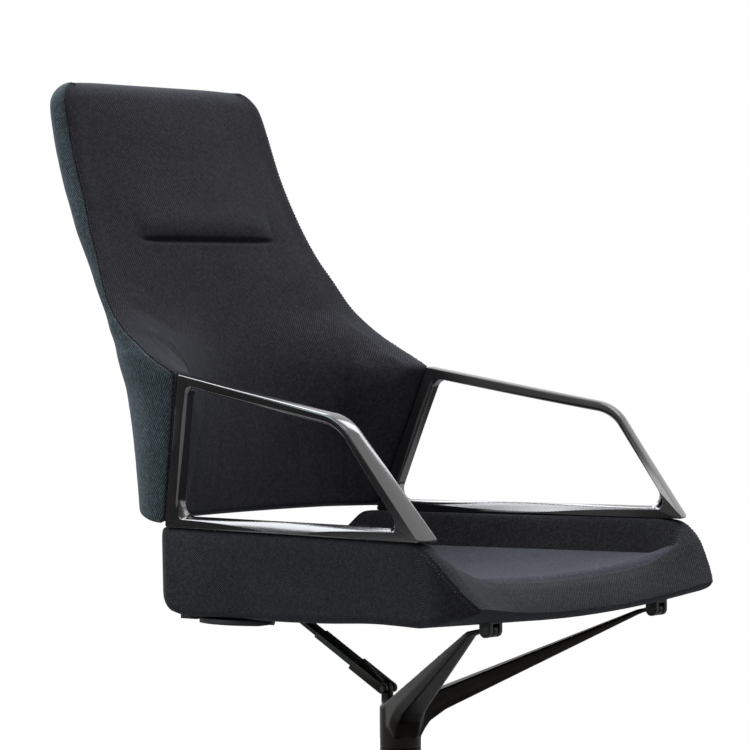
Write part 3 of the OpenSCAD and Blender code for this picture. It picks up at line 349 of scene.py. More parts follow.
# Mesh tools
def piece_from(name, points, faces, finish, smooth=True):
    mesh = bpy.data.meshes.new(name)
    mesh.from_pydata([tuple(p) for p in np.asarray(points, float) * MM], [], [tuple(f) for f in faces])
    mesh.validate()
    mesh.update()
    mesh.shade_smooth() if smooth else mesh.shade_flat()
    mesh.materials.append(FINISH[finish])
    return new_object(name, mesh)


def dress(piece, material):
    """Gives a piece or a node this material alone."""
    piece.data.materials.clear()
    piece.data.materials.append(material)


def net(rows, cols, round_rows=False, round_cols=False):
    """The faces of a grid of points, which may close on itself either way."""
    faces = []
    for j in range(rows if round_rows else rows - 1):
        for i in range(cols if round_cols else cols - 1):
            a, b = j * cols + i, j * cols + (i + 1) % cols
            step = (j + 1) % rows * cols - j * cols
            faces.append((a, b, b + step, a + step))
    return faces


def shell_between(outer, inner):
    """A closed body between two grids of points with the same rows and columns."""
    rows, cols, _ = outer.shape
    count = rows * cols
    faces = []
    for a, b, c, d in net(rows, cols):
        faces += [(a, b, c, d), (count + a, count + d, count + c, count + b)]
    for i in (0, cols - 1):
        for a in range(i, count - cols, cols):
            quad = (a, a + cols, count + a + cols, count + a)
            faces.append(quad[::-1] if i else quad)
    for j in (0, rows - 1):
        for a in range(j * cols, j * cols + cols - 1):
            quad = (a, count + a, count + a + 1, a + 1)
            faces.append(quad[::-1] if j else quad)
    return np.concatenate([outer.reshape(-1, 3), inner.reshape(-1, 3)]), faces


def face_outwards(piece):
    mesh = piece.data
    work = bmesh.new()
    work.from_mesh(mesh)
    bmesh.ops.remove_doubles(work, verts=work.verts, dist=0.02 * MM)
    bmesh.ops.recalc_face_normals(work, faces=work.faces)
    work.to_mesh(mesh)
    work.free()
    mesh.update()


def places(mesh):
    co = np.zeros(len(mesh.vertices) * 3)
    mesh.vertices.foreach_get("co", co)
    return co.reshape(-1, 3)


def put(piece, co):
    piece.data.vertices.foreach_set("co", co.ravel())
    piece.data.update()


def directions(piece):
    normals = np.zeros(len(piece.data.vertices) * 3)
    piece.data.vertex_normals.foreach_get("vector", normals)
    return normals.reshape(-1, 3)


def apply_all(piece):
    """Bakes a piece's modifiers into its mesh."""
    graph = bpy.context.evaluated_depsgraph_get()
    mesh = bpy.data.meshes.new_from_object(piece.evaluated_get(graph))
    piece.modifiers.clear()
    piece.data = mesh


def refine(piece):
    rounder = piece.modifiers.new("finer", "SUBSURF")
    rounder.levels = rounder.render_levels = 1
    apply_all(piece)


def break_edges(piece, width, angle):
    """Rounds every edge that is sharper than an angle."""
    edges = piece.modifiers.new("broken_edges", "BEVEL")
    edges.width = width * MM
    edges.segments = 2
    edges.limit_method = "ANGLE"
    edges.angle_limit = math.radians(angle)
    apply_all(piece)
    piece.data.shade_smooth()


def box_points(low, high):
    """A block between two corners."""
    points = np.array([[x, y, z] for z in (low[2], high[2]) for y in (low[1], high[1])
                       for x in (low[0], high[0])])
    return points, [(0, 2, 3, 1), (4, 5, 7, 6), (0, 1, 5, 4), (2, 6, 7, 3), (0, 4, 6, 2), (1, 3, 7, 5)]


def ring_points(inner, outer, low, high, turns=96):
    """A round sleeve about the chair's axis."""
    around = np.linspace(0, 2 * math.pi, turns, endpoint=False)
    section = ((inner, low), (outer, low), (outer, high), (inner, high))
    points = np.array([[r * math.cos(a), r * math.sin(a), z] for r, z in section for a in around])
    return points, net(len(section), turns, True, True)


def cut_away(piece, shape):
    """Takes a shape out of a piece, as a pocket or a groove."""
    tool = piece_from("cutter", *shape, "thread", smooth=False)
    face_outwards(tool)
    dress(tool, piece.data.materials[0])
    cut = piece.modifiers.new("cut", "BOOLEAN")
    cut.operation, cut.solver, cut.object = "DIFFERENCE", "EXACT", tool
    apply_all(piece)
    bpy.data.objects.remove(tool)


def lay_cloth(piece, across, along_it):
    """Stores where each point lies on the flat cloth, in millimetres, for the weave."""
    grain = piece.data.attributes.new("cloth", "FLOAT_VECTOR", "POINT")
    flat = np.stack([across, along_it, across * 0], -1)
    grain.data.foreach_set("vector", flat.ravel().astype(np.float32))


def cloth_of(grid):
    """Lengths over a grid of points: along each row from its middle, and up the middle column."""
    step = np.linalg.norm(np.diff(grid, axis=1), axis=2)
    run = np.concatenate([np.zeros((len(grid), 1)), np.cumsum(step, axis=1)], 1)
    middle = grid.shape[1] // 2
    rise = np.append(0, np.cumsum(np.linalg.norm(np.diff(grid[:, middle], axis=0), axis=1)))
    return run - run[:, middle:middle + 1], np.repeat(rise[:, None], grid.shape[1], 1)


def swell(piece, hold, cap):
    """Lets a cover swell over its foam by a cloth simulation. Hold is how firmly each point
    is sewn down, and no point moves more than cap millimetres."""
    scene = bpy.context.scene
    rest = places(piece.data)
    group = piece.vertex_groups.new(name="sewn")
    firm = np.round(hold, 1)
    for level in np.unique(firm):
        group.add(np.flatnonzero(firm == level).tolist(), float(level), "REPLACE")
    cloth = piece.modifiers.new("cloth", "CLOTH")
    settings = cloth.settings
    settings.quality = 4
    settings.mass = 0.002
    settings.tension_stiffness = settings.compression_stiffness = 6
    settings.shear_stiffness = 3
    settings.bending_stiffness = 0.4
    settings.use_pressure = True
    settings.uniform_pressure_force = PUSH
    settings.effector_weights.gravity = 0
    settings.vertex_group_mass = "sewn"
    cloth.collision_settings.use_collision = False
    cloth.point_cache.frame_start, cloth.point_cache.frame_end = 1, CLOTH_STEPS
    for step in range(1, CLOTH_STEPS + 1):
        scene.frame_set(step)
    graph = bpy.context.evaluated_depsgraph_get()
    shaped = piece.evaluated_get(graph)
    move = places(shaped.to_mesh()) - rest
    shaped.to_mesh_clear()
    length = np.linalg.norm(move, axis=1, keepdims=True)
    move *= np.minimum(1, cap * MM / np.maximum(length, 1e-9))
    print(f"{piece.name} swelled by up to {length.max() / MM:.1f} mm, mean {length.mean() / MM:.2f}")
    piece.modifiers.remove(cloth)
    piece.vertex_groups.clear()
    put(piece, rest + move)
    scene.frame_set(1)


def along(path, step):
    """Points spread evenly along a path, about step millimetres apart."""
    path = np.asarray(path, float)
    run = np.concatenate([[0], np.cumsum(np.linalg.norm(np.diff(path, axis=0), axis=1))])
    at = np.linspace(0, run[-1], max(2, int(run[-1] / step)))
    return np.stack([np.interp(at, run, path[:, k]) for k in range(3)], 1)


def groove(piece, paths, depth, width, roll_share=0.3):
    """Draws the cloth in along seams, with a low roll on each side."""
    dots = [p for path in paths for p in along(path, 1.0)]
    tree = KDTree(len(dots))
    for i, p in enumerate(dots):
        tree.insert(Vector(p) * MM, i)
    tree.balance()
    co, out = places(piece.data), directions(piece)
    reach = 5 * width * MM
    off = np.array([min(tree.find(Vector(p))[2], reach) for p in co]) / MM
    beside = (off - 2.6 * width) / (1.2 * width)
    dip = np.exp(-((off / width) ** 2)) - roll_share * np.exp(-(beside ** 2))
    dip[off >= 5 * width] = 0
    put(piece, co - out * (dip * depth * MM)[:, None])


def stitches(name, piece, path, aside):
    """A row of sewn stitches lying on a piece, aside millimetres beside a seam."""
    surface_tree = BVHTree.FromObject(piece, bpy.context.evaluated_depsgraph_get())
    line = along(path, STITCH_PITCH)
    points, faces = [], []
    # Where each ring lies along its stitch, and how thick the thread is there
    rings = [(-0.5, 0.35), (-0.36, 0.85), (0.0, 1.0), (0.36, 0.85), (0.5, 0.35)]
    sides = 6
    for k in range(1, len(line) - 1):
        run = Vector(line[k + 1] - line[k - 1]).normalized()
        near, out, _, _ = surface_tree.find_nearest(Vector(line[k]) * MM)
        beside = run.cross(out).normalized()
        spot, out, _, _ = surface_tree.find_nearest(near + beside * aside * MM + out * MM)
        run = (run - out * run.dot(out)).normalized()
        beside = out.cross(run)
        first = len(points)
        for share, fat in rings:
            lift = 0.35 * STITCH_THICK * (1 - (2 * share) ** 2)
            centre = spot / MM + run * share * STITCH_LENGTH + out * lift
            for a in np.linspace(0, 2 * math.pi, sides, endpoint=False):
                points.append(centre + (out * math.cos(a) + beside * math.sin(a)) * STITCH_THICK * fat)
        faces += [tuple(first + v for v in face) for face in net(len(rings), sides, round_cols=True)]
        faces += [tuple(range(first, first + sides))[::-1], tuple(range(len(points) - sides, len(points)))]
    thread = piece_from(name, points, faces, "thread")
    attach(thread, "seat")


def stand_for(piece, node, body):
    """The piece rides on a body and takes the place of a CAD node."""
    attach(piece, body)
    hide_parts(node)


def upholster(piece, node):
    stand_for(piece, node, "seat")


def freedom(rows, cols, hem_cols):
    """How free each point of a cover is: not at all at its edges, wholly inside its hem."""
    across = np.minimum(np.arange(cols), np.arange(cols)[::-1]) / hem_cols
    upright = np.minimum(np.arange(rows), np.arange(rows)[::-1]) / HEM_ROWS
    return np.clip(np.minimum(across[None, :], upright[:, None]), 0, 1)


def cushion(name, finish, outer, inner, free, cap):
    """A padded piece between two grids of points, swollen where its cover is free."""
    piece = piece_from(name, *shell_between(outer, inner), finish)
    lay_cloth(piece, *(np.tile(part.ravel(), 2) for part in cloth_of(outer)))
    hold = np.concatenate([(1 - GIVE * free).ravel(), np.ones(free.size)])
    swell(piece, hold, cap)
    face_outwards(piece)
    refine(piece)
    return piece


# The back
wing_half = curve([[0, 1], [0.05, 1], [0.09, 0.93], [0.14, 0.88], [0.21, 0.77], [0.29, 0.65], [0.39, 0.43],
                   [0.49, 0.3], [0.59, 0.2], [0.69, 0.15], [0.79, 0.12], [0.89, 0.08], [1, 0]])
wing_reach = curve([[0, 1], [0.05, 0.85], [0.09, 0.745], [0.14, 0.63], [0.21, 0.515], [0.29, 0.435],
                    [0.39, 0.355], [0.49, 0.28], [0.59, 0.215], [0.69, 0.155], [0.79, 0.105],
                    [0.89, 0.06], [1, 0]])
front_lean = curve([[0, 0], [0.16, 0.047], [0.33, 0.14], [0.43, 0.24], [0.49, 0.31], [0.56, 0.39],
                    [0.64, 0.475], [0.7, 0.54], [0.83, 0.745], [0.93, 0.89], [1, 1]])
rear_lean = curve([[0, 0], [0.16, 0.046], [0.33, 0.13], [0.46, 0.224], [0.56, 0.38], [0.66, 0.555],
                   [0.75, 0.72], [0.83, 0.83], [0.9, 0.9], [0.95, 0.935], [1, 0.965]])
plan_square = curve([[0, 2.4], [0.2, 2.5], [0.33, 2.6], [0.42, 2.25], [0.48, 2.05], [0.53, 2.15],
                     [0.6, 2.8], [0.68, 3.5], [0.78, 3.8], [1, 3.8]])
flank_out = curve([[0, 0], [0.3, 0], [0.42, 0], [0.5, 1.5], [0.58, 4.5], [0.66, 6.5], [0.9, 5.5], [1, 4]])
edge_ahead = curve([[0, 0], [0.62, 0], [0.72, 2.5], [0.9, 3.5], [1, 5]])
crease_half = curve([[0, 0.62], [0.33, 0.61], [0.39, 0.69], [0.45, 0.81]])
crease_depth = curve([[0, 0.25], [0.16, 0.43], [0.33, 0.87], [0.39, 0.9], [0.45, 0.64]])
# Shares of the back's height: the tuck, the rows of points about it, the soft roll above it, and
# where the wings' creases end
TUCK_AT, TUCK_ROWS = 0.632, [-0.011, -0.0065, -0.0022, 0.0022, 0.0065, 0.011]
TUCK_W, ROLL_SHARE, ROLL_UP, ROLL_W, CREASE_END, CREASE_FADE = 0.006, 0.8, 0.035, 0.03, 0.4, 0.07
# Millimetres: how deep the crest dips at each seam, over how many columns and how far down
SEAM_DIP, SEAM_COLUMNS, SEAM_FADE = 1.8, 2.5, 6.0


def edge_y(z):
    low = mix(ARM_REAR, ARM_TOP_REAR, (z - RAIL_Z) / ARM_RISE) + SOFT_GAP
    high = mix(TOP_EDGE_Y, ARM_TOP_REAR + SOFT_GAP, wing_reach((z - ARM_TOP_Z) / (BACK_TOP - ARM_TOP_Z)))
    return np.where(z <= ARM_TOP_Z, low, high) - edge_ahead((z - BACK_Z) / BACK_H)


def edge_x(z):
    low = arm_x(edge_y(z), z)
    high = mix(TOP_HALF, arm_x(ARM_TOP_REAR, ARM_TOP_Z),
               wing_half((z - ARM_TOP_Z) / (BACK_TOP - ARM_TOP_Z)))
    return np.where(z <= ARM_TOP_Z, low, high) + flank_out((z - BACK_Z) / BACK_H)


def front_face(t, h, z):
    """The sitter's side: a hollow panel, the crease, and the wing's inner face."""
    inner_x, inner_y = edge_x(z) - WING_T, edge_y(z)
    middle = LUMBAR_Y + FRONT_LEAN * front_lean(h)
    fade = ease((h - CREASE_END) / CREASE_FADE)
    fold_x = mix(arm_x(ARM_TOP_REAR, ARM_TOP_Z) * crease_half(h), inner_x, fade)
    fold_y = mix(middle - CUP_D * crease_depth(h), inner_y, fade)
    x = inner_x * t
    panel = middle - (middle - fold_y) * (x / fold_x) ** 2
    wing = mix(fold_y, inner_y, (x - fold_x) / np.maximum(inner_x - fold_x, 0.01))
    y = np.where(x <= fold_x, panel, wing)
    ends = np.clip(1 - (x / TUCK_HALF) ** 8, 0, 1)
    tuck = TUCK_D * ends * (np.exp(-((h - TUCK_AT) / TUCK_W) ** 2)
                            - ROLL_SHARE * np.exp(-((h - TUCK_AT - ROLL_UP) / ROLL_W) ** 2))
    return np.stack([x, y + tuck, z + 0 * x], -1)


def rear_face(t, h, z):
    angle = np.radians(90 * (1 - t))
    power = 2 / plan_square(h)
    depth = REAR_Y + REAR_LEAN * rear_lean(h)
    x = edge_x(z) * np.clip(np.cos(angle), 0, 1) ** power
    lift = np.clip(np.sin(angle), 0, 1) ** power
    # Away from its edge the cover spans the sharp turn of the wing above the arm
    edge, calm = edge_y(z), sum(edge_y(z + d) for d in (-24, -12, 0, 12, 24)) / 5
    y = mix(edge + (calm - edge) * ease(lift * 3), depth, lift)
    return np.stack([x, y, z + 0 * x], -1)


def back_rows():
    """Heights of the rows of points, as shares of the back: close at its ends and the tuck."""
    ends = np.array([0, 0.0012, 0.004, 0.009, 0.016, 0.025])
    body = np.sort(np.concatenate([np.linspace(0.034, 0.966, 104), TUCK_AT + np.array(TUCK_ROWS)]))
    return np.concatenate([ends, body, (1 - ends)[::-1]])


def back_grids():
    """Points round the whole back at each height, and the middle surface inside it."""
    heights = back_rows()
    half_front = np.linspace(0, 1, 46) ** 0.92
    half_rear = np.linspace(0, 1, 60)
    strip = np.linspace(0, 1, 7)[1:-1]
    loops, middles = [], []
    for h in heights:
        z = BACK_Z + BACK_H * h
        front = front_face(half_front, h, z)
        rear = rear_face(half_rear[::-1], h, z)
        across = front[-1] + (rear[0] - front[-1]) * strip[:, None]
        half = np.concatenate([front, across, rear])
        mid_front = front_face(np.minimum(half[:, 0] / (edge_x(z) - WING_T), 1), h, z)
        turned = np.arccos(np.clip((half[:, 0] / edge_x(z)) ** (plan_square(h) / 2), 0, 1))
        back_of = rear_face(np.clip(1 - turned / (math.pi / 2), 0, 1), h, z)
        from_end = min(1 - h, h * 3.5) * BACK_H
        end, rear_end = (roll(from_end, r) * 0.97 for r in (SEAT_EDGE_R, TOP_REAR_R))
        middle = (mid_front + back_of) / 2
        middle[:, 0] = half[:, 0]
        count = np.arange(len(half)) - len(front)
        spread = ease(4 * count / (len(half) - len(front)))[:, None]
        half = mix(half, middle, mix(end, rear_end, spread))
        from_top = (1 - h) * BACK_H
        narrow = 1 - roll(from_top, TOP_CORNER_R) * TOP_CORNER_R / TOP_HALF
        beside_seam = np.exp(-(((count - len(strip)) / SEAM_COLUMNS) ** 2))
        dip = SEAM_DIP * beside_seam * ease(1 - from_top / SEAM_FADE)
        for line in (half, middle):
            line[:, 2] -= dip
            line[:, 0] *= narrow
            line[:, 2] -= CREST_FALL * ease(2 * np.abs(line[:, 0]) / TOP_HALF - 1) * ease(1 - from_top / 70)
        loops.append(np.concatenate([half, half[1:-1][::-1] * [-1, 1, 1]]))
        middles.append(np.concatenate([middle, middle[1:-1][::-1] * [-1, 1, 1]]))
    loops, middles = np.array(loops), np.array(middles)
    corner_front = len(half_front) - 1
    seam = corner_front + len(strip) + 1
    total = loops.shape[1]
    round_off = np.zeros(total)
    for centre, reach in ((corner_front, 7), (seam, 9)):
        for side in (centre, total - centre):
            gap = np.abs(np.arange(total) - side)
            round_off = np.maximum(round_off, ease(1.4 * (1 - gap / (reach + 1))))
    for _ in range(9):
        relaxed = (np.roll(loops, 1, 1) + np.roll(loops, -1, 1)) / 2
        loops = mix(loops, relaxed, 0.5 * round_off[None, :, None])
    return heights, loops, middles, seam


def back_part(name, finish, heights, outer, middle, lift):
    """One of the two covers of the back, closed towards the middle surface between them."""
    pull = np.clip(np.abs(np.linspace(-1, 1, outer.shape[1])) ** 12, 0, 1)[None, :, None]
    inner = mix(middle, outer * [0.985, 1, 1] + [0, 3, 0], pull * 0.9)
    closing = roll((1 - heights) * BACK_H, TOP_REAR_R)[:, None, None]
    inner = mix(inner, outer * [0.97, 1, 1] + [0, 0, -6], closing)
    inner[..., 1] -= lift
    free = freedom(*outer.shape[:2], BACK_HEM)
    if name == "back_panel":
        line = np.clip(np.abs(heights - TUCK_AT) / 0.03, 0, 1)[:, None]
        free = np.where(np.abs(outer[..., 0]) < TUCK_HALF, np.minimum(free, line), free)
    return cushion(name, finish, outer, inner, free, BACK_SWELL)


def creases(heights):
    """The fold on each side between the hollow panel and the wings."""
    h = heights[(heights > 0.02) & (heights < 0.43)]
    fold_x = arm_x(ARM_TOP_REAR, ARM_TOP_Z) * crease_half(h)
    fold_y = LUMBAR_Y + FRONT_LEAN * front_lean(h) - CUP_D * crease_depth(h)
    return [np.stack([side * fold_x, fold_y, BACK_Z + BACK_H * h], -1) for side in (1, -1)]


def build_back():
    heights, loops, middles, seam = back_grids()
    total = loops.shape[1]
    front, rear = np.r_[total - seam:total, 0:seam + 1], np.arange(seam, total - seam + 1)
    panel = back_part("back_panel", "panel_fabric", heights, loops[:, front], middles[:, front], 0.35)
    cover = back_part("back_cover", "cover_fabric", heights, loops[:, rear], middles[:, rear], -0.35)
    seams = [loops[:, seam], loops[:, total - seam]]
    groove(panel, seams, *SEAM)
    groove(cover, seams, *SEAM)
    groove(panel, creases(heights), *CREASE)
    upholster(panel, "back_cushion")
    upholster(cover, "back_shell")
    for line, hand, side in zip(seams, ("left", "right"), (1, -1)):
        for label, piece, way in (("panel", panel, -side), ("cover", cover, side)):
            stitches(f"back_stitch_{label}_{hand}", piece, line[3:-14], way * STITCH_ASIDE)


# The seat
side_drop = curve([[0, 0], [0.25, 0.01], [0.3, 0.04], [0.53, 0.2], [0.7, 0.4], [0.87, 0.59],
                   [0.95, 0.68], [1, 0.73]])
side_rise = curve([[0, 0], [0.11, 0.022], [0.24, 0.036], [0.56, 0.1], [0.76, 0.14], [0.88, 0.18],
                   [0.95, 0.22], [1, 0.27]])
nose = curve([[0, 0], [0.3, 0], [0.53, 0.08], [0.7, 0.29], [0.87, 0.58], [0.95, 0.85], [1, 1]])
mid_drop = curve([[0, 0.535], [0.46, 0.56], [0.65, 0.62], [0.78, 0.7], [0.88, 0.77], [0.95, 0.83],
                  [1, 0.88]])
mid_rise = curve([[0, 0], [0.65, 0.01], [0.78, 0.02], [0.88, 0.04], [0.95, 0.06], [1, 0.09]])
lip_height = curve([[0, 0], [0.2, 0.02], [0.4, 0.07], [0.6, 0.18], [0.75, 0.46], [0.85, 0.74], [0.89, 0.88],
                    [0.975, 1], [1, 0.97]])
PAD_SHARE, WALL_SHARE, PAD_END, RIM_DROP, END_ROWS = 0.85, 0.89, 0.46, 0.2, 5
# How far the cover's lower edge lies above or below the CAD floor line, from nose to rear
hem = curve([[-331, 1.5], [-250, 3], [-174, 4], [-63, -1.5], [28, -4.5], [78, -5], [130, -7],
             [167, -8.4], [185, -6], [207, -1.5], [222, 5], [235, 10]])
# The seam that is sewn round the corner of the front edge
corner_seam = np.array([(303, -267, 496), (300, -288, 477), (291, -304, 455), (280, -319, 434),
                        (264, -329, 415)], float)


def seat_half(y, z, k, q):
    upright = (RAIL_Z - z) * math.tan(math.radians(ARM_LEAN)) * (1 - side_lean(y)) * 0.9
    return (arm_x(y, z) + upright - NOSE_IN * nose(q)
            - SEAT_CORNER_R * roll(SEAT_CORNER_R * (1 - k), SEAT_CORNER_R))


def side_top(q, k):
    return RAIL_Z - WALL_H * side_drop(q) - WALL_H * RIM_DROP * max(0, k - 0.5) ** 2 * 4


def side_low(y, q, k):
    return (FLOOR_Z + hem(y) + WALL_H * side_rise(q)
            + SEAT_EDGE_R * roll(SEAT_EDGE_R * (1 - k), SEAT_EDGE_R))


def lip_top(q, s):
    return mix(RAIL_Z - WALL_H * mid_drop(q), side_top(q, 0), lip_height(s))


def pad_top(s):
    return RAIL_Z - PAD_DROP - PAD_DISH * (1 - (s / PAD_SHARE) ** 2)


def reach(y, s):
    return np.where(y >= -ROLL_Y, y, -ROLL_Y + (y + ROLL_Y) * (1 - LIP_BACK / LIP_D * (1 - s * s)))


def top_height(q, k, s):
    """The tub's upper surface; under the pad it lies deeper than the pad's own top."""
    wall = mix(side_top(q, k), lip_top(q, s), min(1, q / PAD_END))
    rim = RAIL_Z - WALL_H * RIM_DROP * (1 + k**4 / 2)
    under = mix(pad_top(s), lip_top(q, s), min(1, q / PAD_END) ** 2) - 14 * ease((PAD_END - q) / 0.12)
    inside = rim if k > 0 else under
    rise = np.clip((s - PAD_SHARE) / (WALL_SHARE - PAD_SHARE), 0, 1)
    return mix(inside, wall, rise)


def seat_stations():
    """Places along the seat from its rear face to its tip: y, q along the front roll and k
    along the rear end."""
    rear = [1, 0.985, 0.95, 0.88, 0.78, 0.64, 0.46, 0.28, 0.12, 0.03, 0]
    stations = [(SEAT_REAR - SEAT_EDGE_R * (1 - k), 0.0, k) for k in rear]
    stations += [(mix(PAD_REAR, -ROLL_Y, t), 0.0, 0.0) for t in np.linspace(0, 1, 66)[1:-1]]
    lip = np.concatenate([np.linspace(0, 0.9, 24), [0.925, 0.95, 0.97, 0.985, 0.995, 1]])
    return stations + [(-ROLL_Y - LIP_D * q, float(q), 0.0) for q in lip]


def seat_grids():
    """The tub's upper and lower surface, a row of points for each station."""
    shares = np.concatenate([np.linspace(0, 0.84, 26), [0.85, 0.86, 0.87, 0.88, 0.893, 0.91, 0.93, 0.95,
                                                         0.965, 0.98, 0.992, 1.0]])
    tops, lows = [], []
    rows_side, rows_arc = 14, 8
    flats = len(shares) - 1 - rows_side - rows_arc
    for y, q, k in seat_stations():
        z = top_height(q, k, shares)
        x = np.array([seat_half(y, zz, k, q) for zz in z]) * shares
        top = np.stack([x, reach(y, shares), z], -1)
        z0 = side_low(y, q, k)
        r = min(SIDE_EDGE_R, (side_top(q, k) - z0) * 0.4)
        flat = seat_half(y, z0, k, q) - r
        angles = np.radians(np.linspace(0, 90, rows_arc + 1))
        arc = np.stack([flat + r * np.cos(angles), np.full(rows_arc + 1, float(reach(y, 1.0))),
                        z0 + r - r * np.sin(angles)], -1)
        side = mix(top[-1], arc[0], np.linspace(0, 1, rows_side + 1)[:-1, None])
        raised = 0 if q > 0 else max(0, z0 - FLOOR_Z)
        middle = FLOOR_Z - BELLY + WALL_H * mid_rise(q) + 7 * ease(-y / 240 - 0.4) + raised
        s = np.linspace(1, 0, flats + 1)[1:]
        under = np.stack([flat * s, reach(y, s * flat / (flat + r)), mix(middle, z0, s * s)], -1)
        low = np.concatenate([side, arc, under])
        tops.append(np.concatenate([top[::-1], top[1:] * [-1, 1, 1]]))
        lows.append(np.concatenate([low, low[::-1][1:] * [-1, 1, 1]]))
    return np.array(tops), np.array(lows)


def smooth_tub(both, cols):
    """Rounds the tub's long edges, and towards the front also along them."""
    total = both.shape[1]
    weight = np.zeros(total)
    for corner in (0, cols - 1):
        gap = np.abs(np.arange(total) - corner)
        weight = np.maximum(weight, ease(1.3 * (1 - np.minimum(gap, total - gap) / 7)))
    weight = 0.5 * weight[None, :, None]
    for _ in range(6):
        both = mix(both, (np.roll(both, 1, 1) + np.roll(both, -1, 1)) / 2, weight)
    front = ease(np.array([q for _, q, _ in seat_stations()]) / 0.3)[1:-1, None, None]
    for _ in range(10):
        relaxed = sum(np.roll(both, way, axis) for way, axis in ((1, 1), (-1, 1), (1, 0), (-1, 0))) / 4
        both[1:-1] = mix(both, relaxed, weight)[1:-1] * front + both[1:-1] * (1 - front)
    return both


def tub_end(both, cols, j, count):
    """The points and faces that close one end of the tub, from its upper to its lower edge."""
    total = both.shape[1]
    upper = [j * total + i for i in range(cols)]
    lower = [j * total + (total - i) % total for i in range(cols - 1)] + [j * total + cols - 1]
    points, faces, previous = [], [], upper
    for step in range(1, END_ROWS + 1):
        current = lower
        if step < END_ROWS:
            line = mix(both[j, :cols], both[j][[i - j * total for i in lower]], step / END_ROWS)
            points.append(line[1:-1])
            current = [upper[0]] + [count + i for i in range(cols - 2)] + [upper[-1]]
            count += cols - 2
        for i in range(cols - 1):
            face = tuple(dict.fromkeys((previous[i], previous[i + 1], current[i + 1], current[i])))
            if len(face) > 2:
                faces.append(face[::-1] if j == 0 else face)
        previous = current
    return points, faces


def build_tub():
    """The upholstered tub: side walls, rolled front edge and floor in one cover."""
    tops, lows = seat_grids()
    rows, cols = tops.shape[:2]
    both = smooth_tub(np.concatenate([tops, lows[:, ::-1][:, 1:-1]], 1), cols)
    total = both.shape[1]
    faces = net(rows, total, round_cols=True)
    points = [both.reshape(-1, 3)]
    for j in (0, rows - 1):
        more, closing = tub_end(both, cols, j, sum(len(part) for part in points))
        points += more
        faces += closing
    tub = piece_from("seat_cover", np.concatenate(points), faces, "tub_fabric")
    # The cloth is measured both ways from the centre of the top and meets under the seat
    shift = total // 2 - (cols - 1) // 2
    around = np.roll(cloth_of(np.roll(both, shift, 1))[0], -shift, 1)
    lengthwise = np.repeat(both[:, :1, 1].max() - both[:, :1, 1], total, 1)
    ends = np.concatenate(points[1:])
    lay_cloth(tub, np.concatenate([around.ravel(), ends[:, 0] + ends[:, 2]]),
              np.concatenate([lengthwise.ravel(), ends[:, 0] * 0]))
    face_outwards(tub)
    refine(tub)
    for pocket in (STRUT_POCKET, PADDLE_POCKET):
        cut_away(tub, box_points(*pocket))
    return tub


def build_pad():
    """The sitting pad: a crowned top over a flat base, sewn to the tub along its edges."""
    stations = [(mix(PAD_REAR, -ROLL_Y, t), 0.0) for t in np.linspace(0.004, 1, 60)]
    stations += [(-ROLL_Y - LIP_D * q, float(q)) for q in np.linspace(0, PAD_END, 14)[1:]]
    across = np.linspace(-1, 1, 75)
    s = np.abs(across) * PAD_SHARE
    edge = (1 - np.abs(across)) * 250
    top = []
    for y, q in stations:
        z = mix(pad_top(s), lip_top(q, s), min(1, q / PAD_END) ** 2)
        x = np.array([seat_half(y, zz, 0, q) for zz in z]) * s * np.sign(across)
        ends = min(stations[0][0] - y, y - stations[-1][0])
        sunk = 3.2 * np.exp(-((np.minimum(edge, ends) / 7) ** 2))
        top.append(np.stack([x, reach(y, s), z - sunk], -1))
    top = np.array(top)
    base = top.copy()
    base[..., 2] = RAIL_Z - PAD_DROP - PAD_T + 2
    pad = cushion("seat_pad", "pad_fabric", top, base, freedom(*top.shape[:2], PAD_HEM), PAD_SWELL)
    return pad, top


def build_seat():
    tub = build_tub()
    pad, top = build_pad()
    groove(tub, [np.concatenate([top[:, 0], top[-1, 1:-1], top[::-1, -1]])], *PAD_SEAM)
    knots, t = np.linspace(0, 1, len(corner_seam)), np.linspace(0, 1, 40)
    left = np.stack([curve(np.stack([knots, corner_seam[:, k]], 1))(t) for k in range(3)], 1)
    shell = BVHTree.FromObject(tub, bpy.context.evaluated_depsgraph_get())
    corners = [np.array([shell.find_nearest(Vector(p) * MM)[0] for p in line]) / MM
               for line in (left, left * [-1, 1, 1])]
    groove(tub, corners, *CORNER_SEAM)
    upholster(tub, "seat_shell")
    upholster(pad, "seat_cushion")
    for line, hand in zip(corners, ("left", "right")):
        stitches(f"seat_stitch_outer_{hand}", tub, line, STITCH_ASIDE)
        stitches(f"seat_stitch_inner_{hand}", tub, line, -STITCH_ASIDE)
    stitches("seat_stitch_lip", tub, top[-1, 3:-3], 4.0)


# The arms
def unit(v):
    return v / np.linalg.norm(v)


def cross2(a, b):
    return a[0] * b[1] - a[1] * b[0]


# Each member: its rim round the window (width, depth), the crown of its outer edge and how
# full the rim is
RIM = np.array([(5.0, 5.0, 0.5, 0.8), (6.0, 6.0, 1.6, 0.8), (14.0, 8.5, 0.3, 0.35), (6.0, 5.0, 0.3, 0.8)])
ARC_STEPS, SIDE_STEPS, RIM_STEPS = 28, 10, 6
WINDOW_R, WINDOW_REAR_R = 14.0, 20.0


def rounded(path, i, r):
    """An arc that rounds one corner of a four-sided outline."""
    p, a, b = path[i], unit(path[i - 1] - path[i]), unit(path[(i + 1) % 4] - path[i])
    half = math.acos(float(a @ b)) / 2
    centre = p + unit(a + b) * r / math.sin(half)
    start = p + a * r / math.tan(half) - centre
    turn = (2 * half - math.pi) * np.sign(cross2(a, b))
    angles = turn * np.linspace(0, 1, ARC_STEPS + 1)
    return [centre + np.array([start[0] * math.cos(t) - start[1] * math.sin(t),
                               start[0] * math.sin(t) + start[1] * math.cos(t)]) for t in angles]


